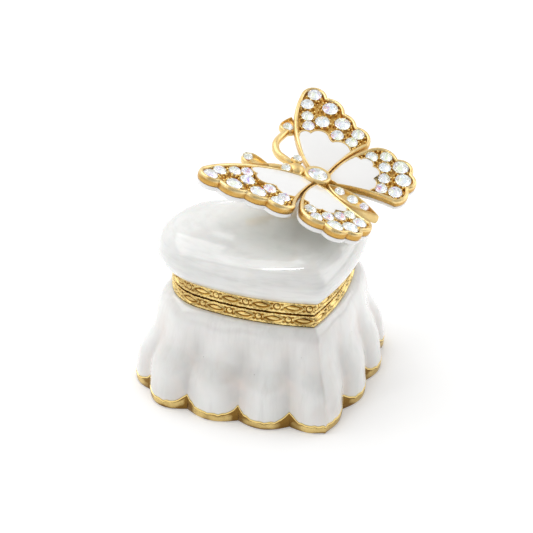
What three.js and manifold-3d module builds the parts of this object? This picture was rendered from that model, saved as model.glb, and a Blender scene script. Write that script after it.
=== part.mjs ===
// A heart-shaped vanity trinket box: a cushion lid hinged at the cleft of the heart, a pleated skirt base
// with a scalloped foot, two stamped bezel bands, and a jewelled butterfly on a post above the right lobe.
// Millimetres, +Z up. The origin is on the underside, below the line through the centres of the two lobes.
// The point of the heart is towards -Y and the hinge is at +Y.
import * as THREE from "three";
import { mergeVertices } from "three/addons/utils/BufferGeometryUtils.js";
import Module from "manifold-3d";

// ---- driving dimensions -------------------------------------------------------------------------------

const SEAM_HEART = { lobeX: 10.1, lobeR: 13.1, point: 27.1, sideR: 61, cleftR: 4, shiftY: 0 };
const FOOT_HEART = { lobeX: 14.2, lobeR: 18.3, point: 35.1, sideR: 81, cleftR: 5, shiftY: 1.2 };
const SEAM_Z = 29; // where the lid parts from the base
const BAND_H = 2.7; // height of each stamped band
const JOIN_GAP = 0.15; // half of the gap between two pieces that meet
const BAND_T = 1.5;
const SKIRT_TOP = SEAM_Z - BAND_H - 3 * JOIN_GAP;
const SKIRT_WALL = 1.8;
const FOOT_BAND_H = 2.4; // upright edge of the foot
const FLUTES = 7; // scallops on each half of the foot
const FIRST_FLUTE = 0.2; // share of the first scallop cut off by the point of the heart
const FLUTE_SPREAD = { right: 1, left: 1.1 }; // above 1 the scallops widen towards the cleft
const FLUTE_STEPS = 5;
const FLUTE_DEPTH = 2.1;
const PLATE_T = 1.5;
const LID_FOOT = SEAM_Z + BAND_H + 3 * JOIN_GAP;
const LID_SHOULDER = 42.4;
const LID_CROWN = 45;
const LID_WALL = 2;
const LID_CENTRE = new THREE.Vector2(0, -3);

const HINGE = { y: 15.1, z: SEAM_Z, r: 1.5, pinR: 0.6, holeR: 0.8, half: 6, centreHalf: 1.85, gap: 0.3 };
const MAGNET = { r: 2.1, h: 1.3, y: -20.6 };
const WEB_T = 0.9;

const BUTTERFLY = { x: 12.9, y: -4, z: 49.5, pitch: 16, yaw: 33.4, dihedral: 13 };
const LEFT_WING = { turn: 3.3, pitch: 1.1, dihedral: 11.3, shift: [0, 0.3, 1], foreStretch: 1.035 }; // askew
const WING = { top: 0, bottom: -2.1, under: -3, underInset: 0.35, floor: -1.1, enamel: -0.3, rim: 1 };
const ROOT_X = 2.5; // where each wing meets the body
const POST = { y: 1.4, pegR: 1.2, holeR: 1.5, shoulderR: 2.4, seatR: 2.7, low: -8.2, step: -4.4, high: -1.9 };
const STONE_GAP = 0.06; // under a stone
const SEAT_GAP = 0.12; // round a stone
const WING_STONE_H = 1.4;
const THORAX_STONE_H = 1.5;
const ABDOMEN_STONE_H = 1.3;

const wasm = await Module();
wasm.setup();

// ---- solids and meshes --------------------------------------------------------------------------------

const rad = THREE.MathUtils.degToRad;

function toSolid(geometry) {
  const bare = geometry.clone();
  bare.deleteAttribute("normal");
  bare.deleteAttribute("uv");
  const merged = mergeVertices(bare, 1e-4);
  return new wasm.Manifold(
    new wasm.Mesh({
      numProp: 3,
      vertProperties: new Float32Array(merged.attributes.position.array),
      triVerts: new Uint32Array(merged.index.array),
    }),
  );
}

function toGeometry(solid) {
  const mesh = solid.getMesh();
  const geometry = new THREE.BufferGeometry();
  geometry.setAttribute("position", new THREE.BufferAttribute(new Float32Array(mesh.vertProperties), 3));
  geometry.setIndex(new THREE.BufferAttribute(new Uint32Array(mesh.triVerts), 1));
  geometry.computeVertexNormals();
  return geometry;
}

const join = (first, ...others) => others.reduce((sum, other) => sum.add(toSolid(other)), toSolid(first));

// A cylinder or cone standing along Z, from z0 to z1, at (x, y).
function disc(radius, z0, z1, x = 0, y = 0, sides = 16, topRadius = radius) {
  const geometry = new THREE.CylinderGeometry(topRadius, radius, z1 - z0, sides);
  return geometry.rotateX(Math.PI / 2).translate(x, y, (z0 + z1) / 2);
}

// A bar along X, centred on the hinge axis.
function hingeBar(radius, x0, x1, sides = 16) {
  const geometry = new THREE.CylinderGeometry(radius, radius, x1 - x0, sides);
  return geometry.rotateZ(Math.PI / 2).translate((x0 + x1) / 2, HINGE.y, HINGE.z);
}

function block(x0, x1, y0, y1, z0, z1) {
  const geometry = new THREE.BoxGeometry(x1 - x0, y1 - y0, z1 - z0);
  return geometry.translate((x0 + x1) / 2, (y0 + y1) / 2, (z0 + z1) / 2);
}

// ---- the heart ----------------------------------------------------------------------------------------

// The right half of a heart, from its point to its cleft, grown outwards by `grow`: a long side arc, the arc
// of the lobe and a small arc in the cleft, all tangent to each other.
function halfHeart(heart, grow) {
  const { lobeX, lobeR, point, sideR, cleftR, shiftY } = heart;
  const toLobe = Math.hypot(lobeX, point);
  const along = (toLobe * toLobe + sideR * sideR - (sideR - lobeR) ** 2) / (2 * toLobe);
  const across = Math.sqrt(sideR * sideR - along * along);
  const ux = lobeX / toLobe;
  const uy = point / toLobe;
  const sideX = ux * along - uy * across;
  const sideY = -point + uy * along + ux * across;
  const cleftY = Math.sqrt((lobeR + cleftR) ** 2 - lobeX * lobeX);
  const start = -Math.acos(-sideX / (sideR + grow));
  const tangent = Math.atan2(-sideY, lobeX - sideX);
  const lobeEnd = Math.atan2(cleftY, -lobeX);
  const path = new THREE.Path();
  path.absarc(sideX, sideY + shiftY, sideR + grow, start, tangent, false);
  path.absarc(lobeX, shiftY, lobeR + grow, tangent, lobeEnd, false);
  path.absarc(0, cleftY + shiftY, cleftR - grow, lobeEnd - Math.PI, -Math.PI / 2, true);
  return path;
}

// Points round the whole heart, anticlockwise from its point, at the shares of each half's length.
function heartRing(heart, grow, shares, z, moved = (p) => p) {
  const half = halfHeart(heart, grow);
  const placed = (u, i) => moved(half.getPointAt(u), half.getTangentAt(u), i);
  const right = shares.right.map(placed);
  const left = shares.left.map(placed).slice(1, -1).reverse();
  return [
    ...right.map((p) => new THREE.Vector3(p.x, p.y, z)),
    ...left.map((p) => new THREE.Vector3(-p.x, p.y, z)),
  ];
}

const evenShares = (steps) => Array.from({ length: steps + 1 }, (_, i) => i / steps);
const HEART_SHARES = { right: evenShares(30), left: evenShares(30) };

// Joins rings of equal length into a surface. A closed loop of rings is a ring-shaped solid; otherwise the
// first and the last ring are closed with a fan to their middle.
function skin(rings, closedLoop) {
  const count = rings[0].length;
  const points = rings.flat();
  const faces = [];
  const spans = closedLoop ? rings.length : rings.length - 1;
  for (let k = 0; k < spans; k++) {
    const low = k * count;
    const high = ((k + 1) % rings.length) * count;
    for (let i = 0; i < count; i++) {
      const next = (i + 1) % count;
      faces.push(low + i, low + next, high + next, low + i, high + next, high + i);
    }
  }
  if (!closedLoop) {
    const middle = (ring) => ring.reduce((sum, p) => sum.add(p), new THREE.Vector3()).divideScalar(count);
    const last = (rings.length - 1) * count;
    const bottom = points.push(middle(rings[0])) - 1;
    const top = points.push(middle(rings[rings.length - 1])) - 1;
    for (let i = 0; i < count; i++) {
      const next = (i + 1) % count;
      faces.push(next, i, bottom, last + i, last + next, top);
    }
  }
  const geometry = new THREE.BufferGeometry().setFromPoints(points);
  geometry.setIndex(faces);
  geometry.computeVertexNormals();
  return geometry;
}

// A ring that follows the heart, with a section given as [grow, z] corners, outer wall first.
const heartBand = (section) =>
  skin(section.map(([grow, z]) => heartRing(SEAM_HEART, grow, HEART_SHARES, z)), true);

const heartPrism = (heart, grow, z0, z1, shares = HEART_SHARES) =>
  skin([heartRing(heart, grow, shares, z0), heartRing(heart, grow, shares, z1)], false);

// ---- base ---------------------------------------------------------------------------------------------

// How far along the scallops each sample is, with one on every cusp; whole numbers are the cusps.
const FLUTE_PHASES = [FIRST_FLUTE];
for (let k = Math.ceil(FIRST_FLUTE * FLUTE_STEPS) + 1; k <= FLUTES * FLUTE_STEPS; k++) {
  FLUTE_PHASES.push(k / FLUTE_STEPS);
}
const fluteShares = (spread) =>
  FLUTE_PHASES.map((phase) => ((phase - FIRST_FLUTE) / (FLUTES - FIRST_FLUTE)) ** spread);
const FLUTE_SHARES = { right: fluteShares(FLUTE_SPREAD.right), left: fluteShares(FLUTE_SPREAD.left) };

// 1 in the middle of a scallop and 0 at the cusp between two.
const scallop = (phase) => Math.abs(Math.sin(Math.PI * phase));

// How far the skirt has flared out, from 0 under the band to 1 at the foot: a shoulder, a slope and a puff.
function flare(down) {
  const shoulder = 0.34 * (1 - Math.exp(-down / 0.07));
  const puff = 0.3 * THREE.MathUtils.smoothstep(down, 0.36, 0.78);
  return shoulder + puff + (1 - 0.34 - 0.3) * down;
}

function skirtRing(z, growTop, growFoot, fluteDepth) {
  const down = THREE.MathUtils.clamp((SKIRT_TOP - z) / (SKIRT_TOP - FOOT_BAND_H), 0, 1);
  const inward = (p, tangent, i) => {
    const inset = fluteDepth * (1 - scallop(FLUTE_PHASES[i]));
    return new THREE.Vector2(p.x - tangent.y * inset, p.y + tangent.x * inset);
  };
  const foot = heartRing(FOOT_HEART, growFoot, FLUTE_SHARES, z, inward);
  const top = heartRing(SEAM_HEART, growTop, FLUTE_SHARES, z);
  const ring = top.map((p, i) => p.clone().lerp(foot[i], flare(down)));
  ring[0].x = 0;
  ring[FLUTE_PHASES.length - 1].x = 0;
  return ring;
}

function baseShell() {
  const outer = [0, FOOT_BAND_H, 5.5, 8.5, 11.5, 15, 19, 22.5, 24.6].map((z) => {
    const down = 1 - Math.max(0, z - FOOT_BAND_H) / (SKIRT_TOP - FOOT_BAND_H);
    return skirtRing(z, 0, 0, FLUTE_DEPTH * (0.2 + 0.8 * down));
  });
  outer.push(skirtRing(SKIRT_TOP, -0.1, 0, 0));
  const wall = -SKIRT_WALL - FLUTE_DEPTH;
  const ledge = PLATE_T + 2 * JOIN_GAP;
  const inner = [SKIRT_TOP, 24.8, 22, 17, 10, ledge].map((z) => skirtRing(z, -SKIRT_WALL, wall - 1, 0));
  const rebate = [ledge, 0].map((z) => skirtRing(z, -SKIRT_WALL, wall, 0));
  return skin([...outer, ...inner, ...rebate], true);
}

const basePlate = () =>
  heartPrism(FOOT_HEART, -SKIRT_WALL - FLUTE_DEPTH - 2 * JOIN_GAP, 0, PLATE_T, FLUTE_SHARES);

// A web across the inside of the point, which carries a magnet.
function magnetWeb(z0, z1) {
  const inside = toSolid(heartPrism(SEAM_HEART, -BAND_T + 0.3, z0, z1));
  return inside.intersect(toSolid(block(-9, 9, -30, MAGNET.y + MAGNET.r + 1, z0 - 1, z1 + 1)));
}

// The lower band, with the lip inside the seam that centres the lid.
function baseBezel() {
  const low = SKIRT_TOP + 2 * JOIN_GAP;
  const high = SEAM_Z - JOIN_GAP;
  const lip = -BAND_T - 0.3;
  const band = heartBand([
    [0, low],
    [0, high],
    [lip, high],
    [lip, high + 1],
    [lip - 0.8, high + 1],
    [lip - 0.8, low],
  ]);
  return toGeometry(toSolid(band).add(magnetWeb(low, low + WEB_T)));
}

function lidBezel() {
  const low = SEAM_Z + JOIN_GAP;
  const high = low + BAND_H;
  const band = heartBand([
    [0, low],
    [0, high],
    [-BAND_T, high],
    [-BAND_T, low],
  ]);
  return toGeometry(toSolid(band).add(magnetWeb(high - WEB_T, high)));
}

// ---- lid ----------------------------------------------------------------------------------------------

// A ring of the cushion: the heart grown by `grow`, then drawn in towards its middle to `size`.
function cushionRing(grow, z, size = 1) {
  return heartRing(SEAM_HEART, grow, HEART_SHARES, z).map(
    (p) =>
      new THREE.Vector3(
        LID_CENTRE.x + (p.x - LID_CENTRE.x) * size,
        LID_CENTRE.y + (p.y - LID_CENTRE.y) * size,
        z,
      ),
  );
}

function lidShell(holes) {
  const side = [
    [-0.2, LID_FOOT],
    [1.3, 33.3],
    [2.3, 35.1],
    [2.6, 37.2],
    [2.2, 39.3],
    [1.2, 41.2],
    [-0.6, LID_SHOULDER],
    [-3, 43.3],
  ].map(([grow, z]) => cushionRing(grow, z));
  const crown = [0.72, 0.42, 0.16].map((size) =>
    cushionRing(-3, LID_CROWN - (LID_CROWN - 43.3) * size * size, size),
  );
  const outer = toSolid(skin([...side, ...crown], false));
  const hollow = [
    [-SKIRT_WALL, LID_FOOT - 1],
    [-SKIRT_WALL, 34],
    [-LID_WALL + 0.6, 37],
    [-LID_WALL - 0.4, 40],
    [-5, LID_SHOULDER - 1],
  ].map(([grow, z]) => cushionRing(grow, z));
  const ceiling = [0.6, 0.2].map((size) => cushionRing(-5, LID_CROWN - LID_WALL - 1.2 * size * size, size));
  const shell = outer.subtract(toSolid(skin([...hollow, ...ceiling], false)));
  return toGeometry(holes.reduce((left, hole) => left.subtract(hole), shell));
}

// ---- hinge and catch ----------------------------------------------------------------------------------

// A leaf that fills the cleft behind one band, rolled into knuckles between the x limits given.
function hingeLeaf(z0, z1, knuckles, awayFrom) {
  const edge = HINGE.y - HINGE.r - HINGE.gap;
  let leaf = toSolid(block(-HINGE.half, HINGE.half, 8, edge, z0, z1));
  for (const [x0, x1] of knuckles) {
    const tabLow = Math.max(z0, HINGE.z - HINGE.r);
    const tabHigh = Math.min(z1, HINGE.z + HINGE.r);
    leaf = leaf.add(toSolid(block(x0, x1, edge - 0.2, HINGE.y, tabLow, tabHigh)));
    leaf = leaf.add(toSolid(hingeBar(HINGE.r, x0, x1)));
  }
  leaf = leaf.subtract(toSolid(heartPrism(SEAM_HEART, 2 * JOIN_GAP, z0 - 3, z1 + 3)));
  leaf = leaf.subtract(toSolid(hingeBar(HINGE.holeR, -HINGE.half - 1, HINGE.half + 1)));
  for (const [x0, x1] of awayFrom) {
    leaf = leaf.subtract(toSolid(hingeBar(HINGE.r + HINGE.gap, x0 - HINGE.gap, x1 + HINGE.gap)));
  }
  return toGeometry(leaf);
}

const END_KNUCKLES = [
  [-HINGE.half, -HINGE.centreHalf - HINGE.gap],
  [HINGE.centreHalf + HINGE.gap, HINGE.half],
];
const CENTRE_KNUCKLE = [[-HINGE.centreHalf, HINGE.centreHalf]];

const hingeLeafBase = () => hingeLeaf(SEAM_Z - BAND_H, SEAM_Z - JOIN_GAP, END_KNUCKLES, CENTRE_KNUCKLE);
const hingeLeafLid = () => hingeLeaf(SEAM_Z + JOIN_GAP, SEAM_Z + BAND_H, CENTRE_KNUCKLE, END_KNUCKLES);

// The pin, with a domed head just outside each end knuckle.
function hingePin() {
  const end = HINGE.half + HINGE.gap;
  const heads = [
    [-end - 0.5, -end],
    [end, end + 0.5],
  ].map(([x0, x1]) => hingeBar(1.05, x0, x1));
  return toGeometry(join(hingeBar(HINGE.pinR, -end - 0.2, end + 0.2), ...heads));
}

// ---- stones -------------------------------------------------------------------------------------------

// A flat-backed brilliant: an upright girdle, a sloping crown of facets and a flat table.
function stone(radius, base, height) {
  const profile = [
    [0, base],
    [radius * 0.9, base],
    [radius, base + height * 0.3],
    [radius * 0.58, base + height],
    [0, base + height],
  ].map(([r, z]) => new THREE.Vector2(r, z));
  return new THREE.LatheGeometry(profile, 8).rotateX(Math.PI / 2);
}

// ---- wings --------------------------------------------------------------------------------------------

// An outline made of arcs, each through a start, a middle and an end point; a pair of points is a straight.
function outlineOf(stretches, steps) {
  const points = [];
  for (const stretch of stretches) {
    if (stretch.length === 2) {
      points.push(new THREE.Vector2(...stretch[0]));
      continue;
    }
    const [a, b, c] = stretch.map((p) => new THREE.Vector2(...p));
    const d = 2 * (a.x * (b.y - c.y) + b.x * (c.y - a.y) + c.x * (a.y - b.y));
    const cx = (a.lengthSq() * (b.y - c.y) + b.lengthSq() * (c.y - a.y) + c.lengthSq() * (a.y - b.y)) / d;
    const cy = (a.lengthSq() * (c.x - b.x) + b.lengthSq() * (a.x - c.x) + c.lengthSq() * (b.x - a.x)) / d;
    const centre = new THREE.Vector2(cx, cy);
    const radius = centre.distanceTo(a);
    const from = Math.atan2(a.y - cy, a.x - cx);
    const turn = 2 * Math.PI;
    const clockwise = d < 0;
    let sweep = Math.atan2(c.y - cy, c.x - cx) - from;
    if (clockwise && sweep > 0) sweep -= turn;
    if (!clockwise && sweep < 0) sweep += turn;
    for (let i = 0; i < steps; i++) {
      const angle = from + (sweep * i) / steps;
      points.push(new THREE.Vector2(cx + radius * Math.cos(angle), cy + radius * Math.sin(angle)));
    }
  }
  return points;
}

// The outline drawn in by a distance along its normals.
function drawnIn(points, distance) {
  return points.map((p, i) => {
    const before = points[(i + points.length - 1) % points.length];
    const after = points[(i + 1) % points.length];
    const tangent = after.clone().sub(before).normalize();
    const side = THREE.ShapeUtils.isClockWise(points) ? 1 : -1;
    return new THREE.Vector2(p.x + side * tangent.y * distance, p.y - side * tangent.x * distance);
  });
}

function slab(points, z0, z1, hole) {
  const shape = new THREE.Shape(points);
  if (hole) shape.holes.push(new THREE.Path(hole));
  return new THREE.ExtrudeGeometry(shape, { depth: z1 - z0, bevelEnabled: false }).translate(0, 0, z0);
}

const FOREWING = {
  edge: [
    [[ROOT_X, 0.5], [ROOT_X, 4.6]],
    [[ROOT_X, 4.6], [12.6, 16.2], [22.8, 20.7]],
    [[22.8, 20.7], [26.9, 18.6], [25.6, 14.7]],
    [[25.6, 14.7], [26.2, 11.5], [23.9, 8.4]],
    [[23.9, 8.4], [23.8, 6], [22, 3.7]],
    [[22, 3.7], [22.2, 0.9], [18.2, -1.9]],
    [[18.2, -1.9], [10, 0.3], [ROOT_X, 0.5]],
  ],
  enamel: [
    [[0, -2], [0, 8]],
    [[0, 8], [10.8, 13.2]],
    [[10.8, 13.2], [12.4, 12.7], [12.6, 11.2]],
    [[12.6, 11.2], [14.8, 9.9], [14.3, 7]],
    [[14.3, 7], [13.8, 6.3], [13.6, 5.4]],
    [[13.6, 5.4], [15, 3.6], [14.2, 0.9]],
    [[14.2, 0.9], [12, -2]],
    [[12, -2], [0, -2]],
  ],
  stones: [
    [24.4, 17.8, 1.75],
    [20.5, 17.4, 1.6],
    [22.9, 12.2, 1.95],
    [17.1, 15.1, 1.5],
    [17.9, 11.2, 1.8],
    [20.5, 7, 1.95],
    [14.5, 13.1, 1.5],
    [16.4, 5.9, 1.6],
    [19.9, 2.1, 1.6],
    [16.7, 1.9, 1.5],
  ],
};

const HINDWING = {
  edge: [
    [[ROOT_X, -3.1], [ROOT_X, 0.1]],
    [[ROOT_X, 0.1], [10, 0], [17.6, -2.5]],
    [[17.6, -2.5], [20.4, -6], [19.3, -9.9]],
    [[19.3, -9.9], [19.9, -13.2], [17.2, -15.3]],
    [[17.2, -15.3], [15.4, -17.6], [12.5, -17.1]],
    [[12.5, -17.1], [9.6, -18.2], [6.8, -16.8]],
    [[6.8, -16.8], [5.5, -10.4], [ROOT_X, -3.1]],
  ],
  enamel: [
    [[0, 2], [0, -9]],
    [[0, -9], [6.6, -10]],
    [[6.6, -10], [8.7, -10.2], [10, -8.5]],
    [[10, -8.5], [12.6, -8.6], [13, -6.4]],
    [[13, -6.4], [14.5, -5], [13.2, -3]],
    [[13.2, -3], [13.4, 2]],
    [[13.4, 2], [0, 2]],
  ],
  stones: [
    [15.8, -4.5, 1.5],
    [18.1, -7.2, 1.5],
    [14.9, -8.8, 1.5],
    [17.4, -11.8, 1.95],
    [11.7, -10.6, 1.5],
    [14.2, -14.5, 1.95],
    [8.5, -11.8, 1.5],
    [9.7, -15, 1.7],
  ],
};

// A wing casting: a rim round the edge, a low shelf of enamel by the body, a deeper floor under the stones.
function wing(plan) {
  const edge = outlineOf(plan.edge, 6);
  const inner = drawnIn(edge, WING.rim);
  const under = drawnIn(edge, WING.underInset);
  const body = join(slab(edge, WING.bottom, WING.top), slab(under, WING.under, WING.bottom + 0.3));
  const above = toSolid(slab(inner, WING.enamel, WING.top + 1));
  const paved = toSolid(slab(inner, WING.floor, WING.top + 1)).subtract(
    toSolid(slab(outlineOf(plan.enamel, 4), WING.floor - 1, WING.top + 2)),
  );
  const seats = plan.stones.map(([x, y, radius]) =>
    toSolid(disc(radius + SEAT_GAP, WING.floor, WING.top + 1, x, y)),
  );
  const collar = toSolid(disc(THORAX.seatR + 0.4, -0.8, WING.top + 1, 0, THORAX.y, 20));
  return toGeometry([above, paved, collar, ...seats].reduce((left, cut) => left.subtract(cut), body));
}

// ---- butterfly body -----------------------------------------------------------------------------------

function leafOutline(length, halfWidth, steps, skew = 0.85) {
  const right = [];
  for (let i = 0; i <= steps; i++) {
    const share = i / steps;
    right.push(new THREE.Vector2(halfWidth * Math.sin(Math.PI * share ** skew), -length * share));
  }
  const left = right.slice(1, -1).reverse();
  return [...right, ...left.map((p) => new THREE.Vector2(-p.x, p.y))];
}

const ABDOMEN = {
  start: -1.2,
  length: 15.2,
  halfWidth: 2.5,
  low: -1.6,
  top: 1.2,
  floor: 0.3,
  recessEnds: 1.5,
  rim: 0.7,
};
const ABDOMEN_STONES = [
  [-5, 1.25],
  [-8.7, 1.4],
  [-12, 1.15],
];
const THORAX = { y: 1.5, low: -1.6, neckR: 2.05, seatR: 3.05, seatZ: 1.2, top: 2.1, stoneR: 2.3 };

function butterflyBody() {
  const abdomen = leafOutline(ABDOMEN.length, ABDOMEN.halfWidth, 10);
  const { start, low, top, floor, recessEnds } = ABDOMEN;
  const recess = leafOutline(ABDOMEN.length - 2 * recessEnds, ABDOMEN.halfWidth - ABDOMEN.rim, 8);
  let leaf = toSolid(slab(abdomen, low, top).translate(0, start, 0));
  leaf = leaf.subtract(toSolid(slab(recess, floor, top + 1).translate(0, start - recessEnds, 0)));
  for (const [y, radius] of ABDOMEN_STONES) {
    leaf = leaf.subtract(toSolid(disc(radius + SEAT_GAP, floor, top + 1, 0, y)));
  }
  const collet = new THREE.LatheGeometry(
    [
      [0, THORAX.low],
      [THORAX.neckR, THORAX.low],
      [THORAX.neckR, 0.6],
      [THORAX.seatR, THORAX.seatZ],
      [THORAX.seatR, THORAX.top],
      [THORAX.stoneR + 0.15, THORAX.top],
      [THORAX.stoneR + 0.15, THORAX.seatZ],
      [0, THORAX.seatZ],
    ].map(([r, z]) => new THREE.Vector2(r, z)),
    20,
  ).rotateX(Math.PI / 2);
  const spine = block(-1.5, 1.5, -3.5, 4.5, THORAX.low, 0.3);
  return toGeometry(leaf.add(toSolid(spine)).add(toSolid(collet.translate(0, THORAX.y, 0))));
}

function butterflyPost() {
  const { y, pegR, shoulderR, low, step, high } = POST;
  return toGeometry(join(disc(pegR, low, step + 0.3, 0, y), disc(shoulderR, step, high, 0, y, 20)));
}

const EYE = { x: 2.3, y: 8.7, low: -1.2, high: 1, r: 1.45, lean: 18 };
const HEAD = { y: 7.2, halfWidth: 2.3, halfLength: 2.2, halfHeight: 1.5, z: -0.1 };

function butterflyHead() {
  const skull = new THREE.SphereGeometry(1, 14, 8).scale(HEAD.halfWidth, HEAD.halfLength, HEAD.halfHeight);
  const eyes = [-1, 1].map((side) =>
    disc(EYE.r, EYE.low, EYE.high, 0, 0, 12).rotateY(rad(side * EYE.lean)).translate(side * EYE.x, EYE.y, 0),
  );
  return toGeometry(join(skull.translate(0, HEAD.y, HEAD.z), ...eyes));
}

// A feeler: a stem that sweeps forward and out, and a pointed leaf on its end that holds a stone. The left
// one is bent inwards.
const FEELER = { r: 0.85, sides: 8, leafLength: 5.6, leafHalfWidth: 1.6, leafT: 1.4, leafZ: 0.6, skew: 0.65 };
const FEELERS = {
  right: {
    course: [
      [1.4, 10.9, -0.1],
      [1.7, 13.2, 0],
      [3, 15, 0.2],
      [5.6, 16.3, 0.4],
      [10.6, 16.7, 0.5],
    ],
    leaf: [9.4, 16.8],
    turn: 120,
  },
  left: {
    course: [
      [2.2, 11.3, -0.1],
      [4.4, 12.9, 0],
      [5.8, 14.4, 0.2],
      [6.8, 16.4, 0.4],
    ],
    leaf: [7.5, 18.8],
    turn: -17.5,
  },
};

function antenna({ course, leaf, turn }) {
  const section = new THREE.Shape().absarc(0, 0, FEELER.r, 0, 2 * Math.PI);
  const stem = new THREE.ExtrudeGeometry(section, {
    steps: 12,
    curveSegments: FEELER.sides,
    extrudePath: new THREE.CatmullRomCurve3(course.map((p) => new THREE.Vector3(...p))),
  });
  const outline = leafOutline(FEELER.leafLength, FEELER.leafHalfWidth, 8, FEELER.skew);
  const blade = slab(outline, -FEELER.leafT / 2, FEELER.leafT / 2)
    .rotateZ(rad(turn))
    .translate(leaf[0], leaf[1], FEELER.leafZ);
  return toGeometry(join(stem, blade));
}

// ---- assembly -----------------------------------------------------------------------------------------

const enamel = new THREE.MeshStandardMaterial({ color: 0xeeece8, roughness: 0.2, metalness: 0 });
const gilt = new THREE.MeshStandardMaterial({ color: 0xd9b363, roughness: 0.35, metalness: 1 });
const stampedGilt = new THREE.MeshStandardMaterial({ color: 0xcfa544, roughness: 0.3, metalness: 1 });
const nickel = new THREE.MeshStandardMaterial({ color: 0xb8bbbe, roughness: 0.3, metalness: 1 });
const crystal = new THREE.MeshStandardMaterial({ color: 0xe6eef5, roughness: 0.05, metalness: 0 });

function named(name, geometry, material) {
  const mesh = new THREE.Mesh(geometry, material);
  mesh.name = name;
  return mesh;
}

function butterflyGroup() {
  const group = new THREE.Group();
  group.position.set(BUTTERFLY.x, BUTTERFLY.y, BUTTERFLY.z);
  group.rotation.set(rad(BUTTERFLY.pitch), 0, rad(BUTTERFLY.yaw), "ZXY");
  group.add(named("butterfly_body", butterflyBody(), gilt));
  group.add(named("butterfly_head", butterflyHead(), gilt));
  group.add(named("butterfly_post", butterflyPost(), gilt));
  const thoraxStone = stone(THORAX.stoneR, THORAX.seatZ + STONE_GAP, THORAX_STONE_H);
  group.add(named("crystal_thorax", thoraxStone.translate(0, THORAX.y, 0), crystal));
  ABDOMEN_STONES.forEach(([y, radius], i) => {
    const gem = stone(radius, ABDOMEN.floor + STONE_GAP, ABDOMEN_STONE_H).translate(0, y, 0);
    group.add(named(`crystal_abdomen_${i + 1}`, gem, crystal));
  });
  for (const [sideName, mirror] of [["right", 1], ["left", -1]]) {
    const side = new THREE.Group();
    side.scale.x = mirror;
    side.add(named(`antenna_${sideName}`, antenna(FEELERS[sideName]), gilt));
    const wings = new THREE.Group();
    wings.rotation.y = -rad(BUTTERFLY.dihedral);
    if (mirror < 0) {
      wings.rotation.set(rad(LEFT_WING.pitch), -rad(LEFT_WING.dihedral), -rad(LEFT_WING.turn), "ZXY");
      wings.position.set(...LEFT_WING.shift);
    }
    for (const [wingName, plan] of [["forewing", FOREWING], ["hindwing", HINDWING]]) {
      const pair = new THREE.Group();
      if (mirror < 0 && plan === FOREWING) pair.scale.x = LEFT_WING.foreStretch;
      pair.add(named(`${wingName}_${sideName}`, wing(plan), gilt));
      plan.stones.forEach(([x, y, radius], i) => {
        const number = String(i + 1).padStart(2, "0");
        const gem = stone(radius, WING.floor + STONE_GAP, WING_STONE_H).translate(x, y, 0);
        pair.add(named(`crystal_${wingName}_${sideName}_${number}`, gem, crystal));
      });
      wings.add(pair);
    }
    side.add(wings);
    group.add(side);
  }
  return group;
}

const butterfly = butterflyGroup();
butterfly.updateMatrixWorld(true);

// The drilling and the spot-faced seat for the post, along the butterfly's own upright axis.
const postHoles = [
  disc(POST.holeR, POST.low - 4, POST.high, 0, POST.y),
  disc(POST.seatR, POST.step - 0.3, POST.high, 0, POST.y, 20),
].map((geometry) => toSolid(geometry.applyMatrix4(butterfly.matrixWorld)));

const magnetLow = SKIRT_TOP + 2 * JOIN_GAP + WEB_T + 0.1;
const lidMagnetHigh = SEAM_Z + JOIN_GAP + BAND_H - WEB_T - 0.1;

const base = new THREE.Group();
base.add(named("base_shell", baseShell(), enamel));
base.add(named("base_plate", basePlate(), gilt));
base.add(named("base_bezel", baseBezel(), stampedGilt));
base.add(named("base_magnet", disc(MAGNET.r, magnetLow, magnetLow + MAGNET.h, 0, MAGNET.y, 20), nickel));
base.add(named("hinge_leaf_base", hingeLeafBase(), stampedGilt));
base.add(named("hinge_pin", hingePin(), stampedGilt));

const lid = new THREE.Group();
lid.add(named("lid_shell", lidShell(postHoles), enamel));
lid.add(named("lid_bezel", lidBezel(), stampedGilt));
const lidMagnet = disc(MAGNET.r, lidMagnetHigh - MAGNET.h, lidMagnetHigh, 0, MAGNET.y, 20);
lid.add(named("lid_magnet", lidMagnet, nickel));
lid.add(named("hinge_leaf_lid", hingeLeafLid(), stampedGilt));
lid.add(butterfly);

const trinketBox = new THREE.Group();
trinketBox.add(base, lid);

export default trinketBox;
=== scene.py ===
"""The looks of a heart-shaped enamelled trinket box with a jewelled butterfly on its lid."""
import math
import random

import bpy
import numpy as np
from mathutils import Matrix, Vector


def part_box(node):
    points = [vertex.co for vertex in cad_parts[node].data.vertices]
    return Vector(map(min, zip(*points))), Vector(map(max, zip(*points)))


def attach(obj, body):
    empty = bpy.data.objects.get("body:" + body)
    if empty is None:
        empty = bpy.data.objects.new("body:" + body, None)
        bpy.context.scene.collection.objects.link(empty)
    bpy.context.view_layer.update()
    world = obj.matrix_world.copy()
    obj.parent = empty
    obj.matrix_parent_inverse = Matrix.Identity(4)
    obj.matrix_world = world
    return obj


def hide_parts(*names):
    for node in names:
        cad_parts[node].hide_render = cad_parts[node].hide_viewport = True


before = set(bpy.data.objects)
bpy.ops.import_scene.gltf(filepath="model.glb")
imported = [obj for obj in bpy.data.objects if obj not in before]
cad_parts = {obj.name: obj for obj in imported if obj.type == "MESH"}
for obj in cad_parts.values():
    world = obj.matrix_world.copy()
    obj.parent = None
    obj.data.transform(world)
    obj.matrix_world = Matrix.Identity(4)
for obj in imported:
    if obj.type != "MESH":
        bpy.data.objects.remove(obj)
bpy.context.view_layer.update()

MM = 0.001  # sizes below are in millimetres, and meshes are in metres

# ---- sizes that the frame's pieces share ---------------------------------------------------------------

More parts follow.
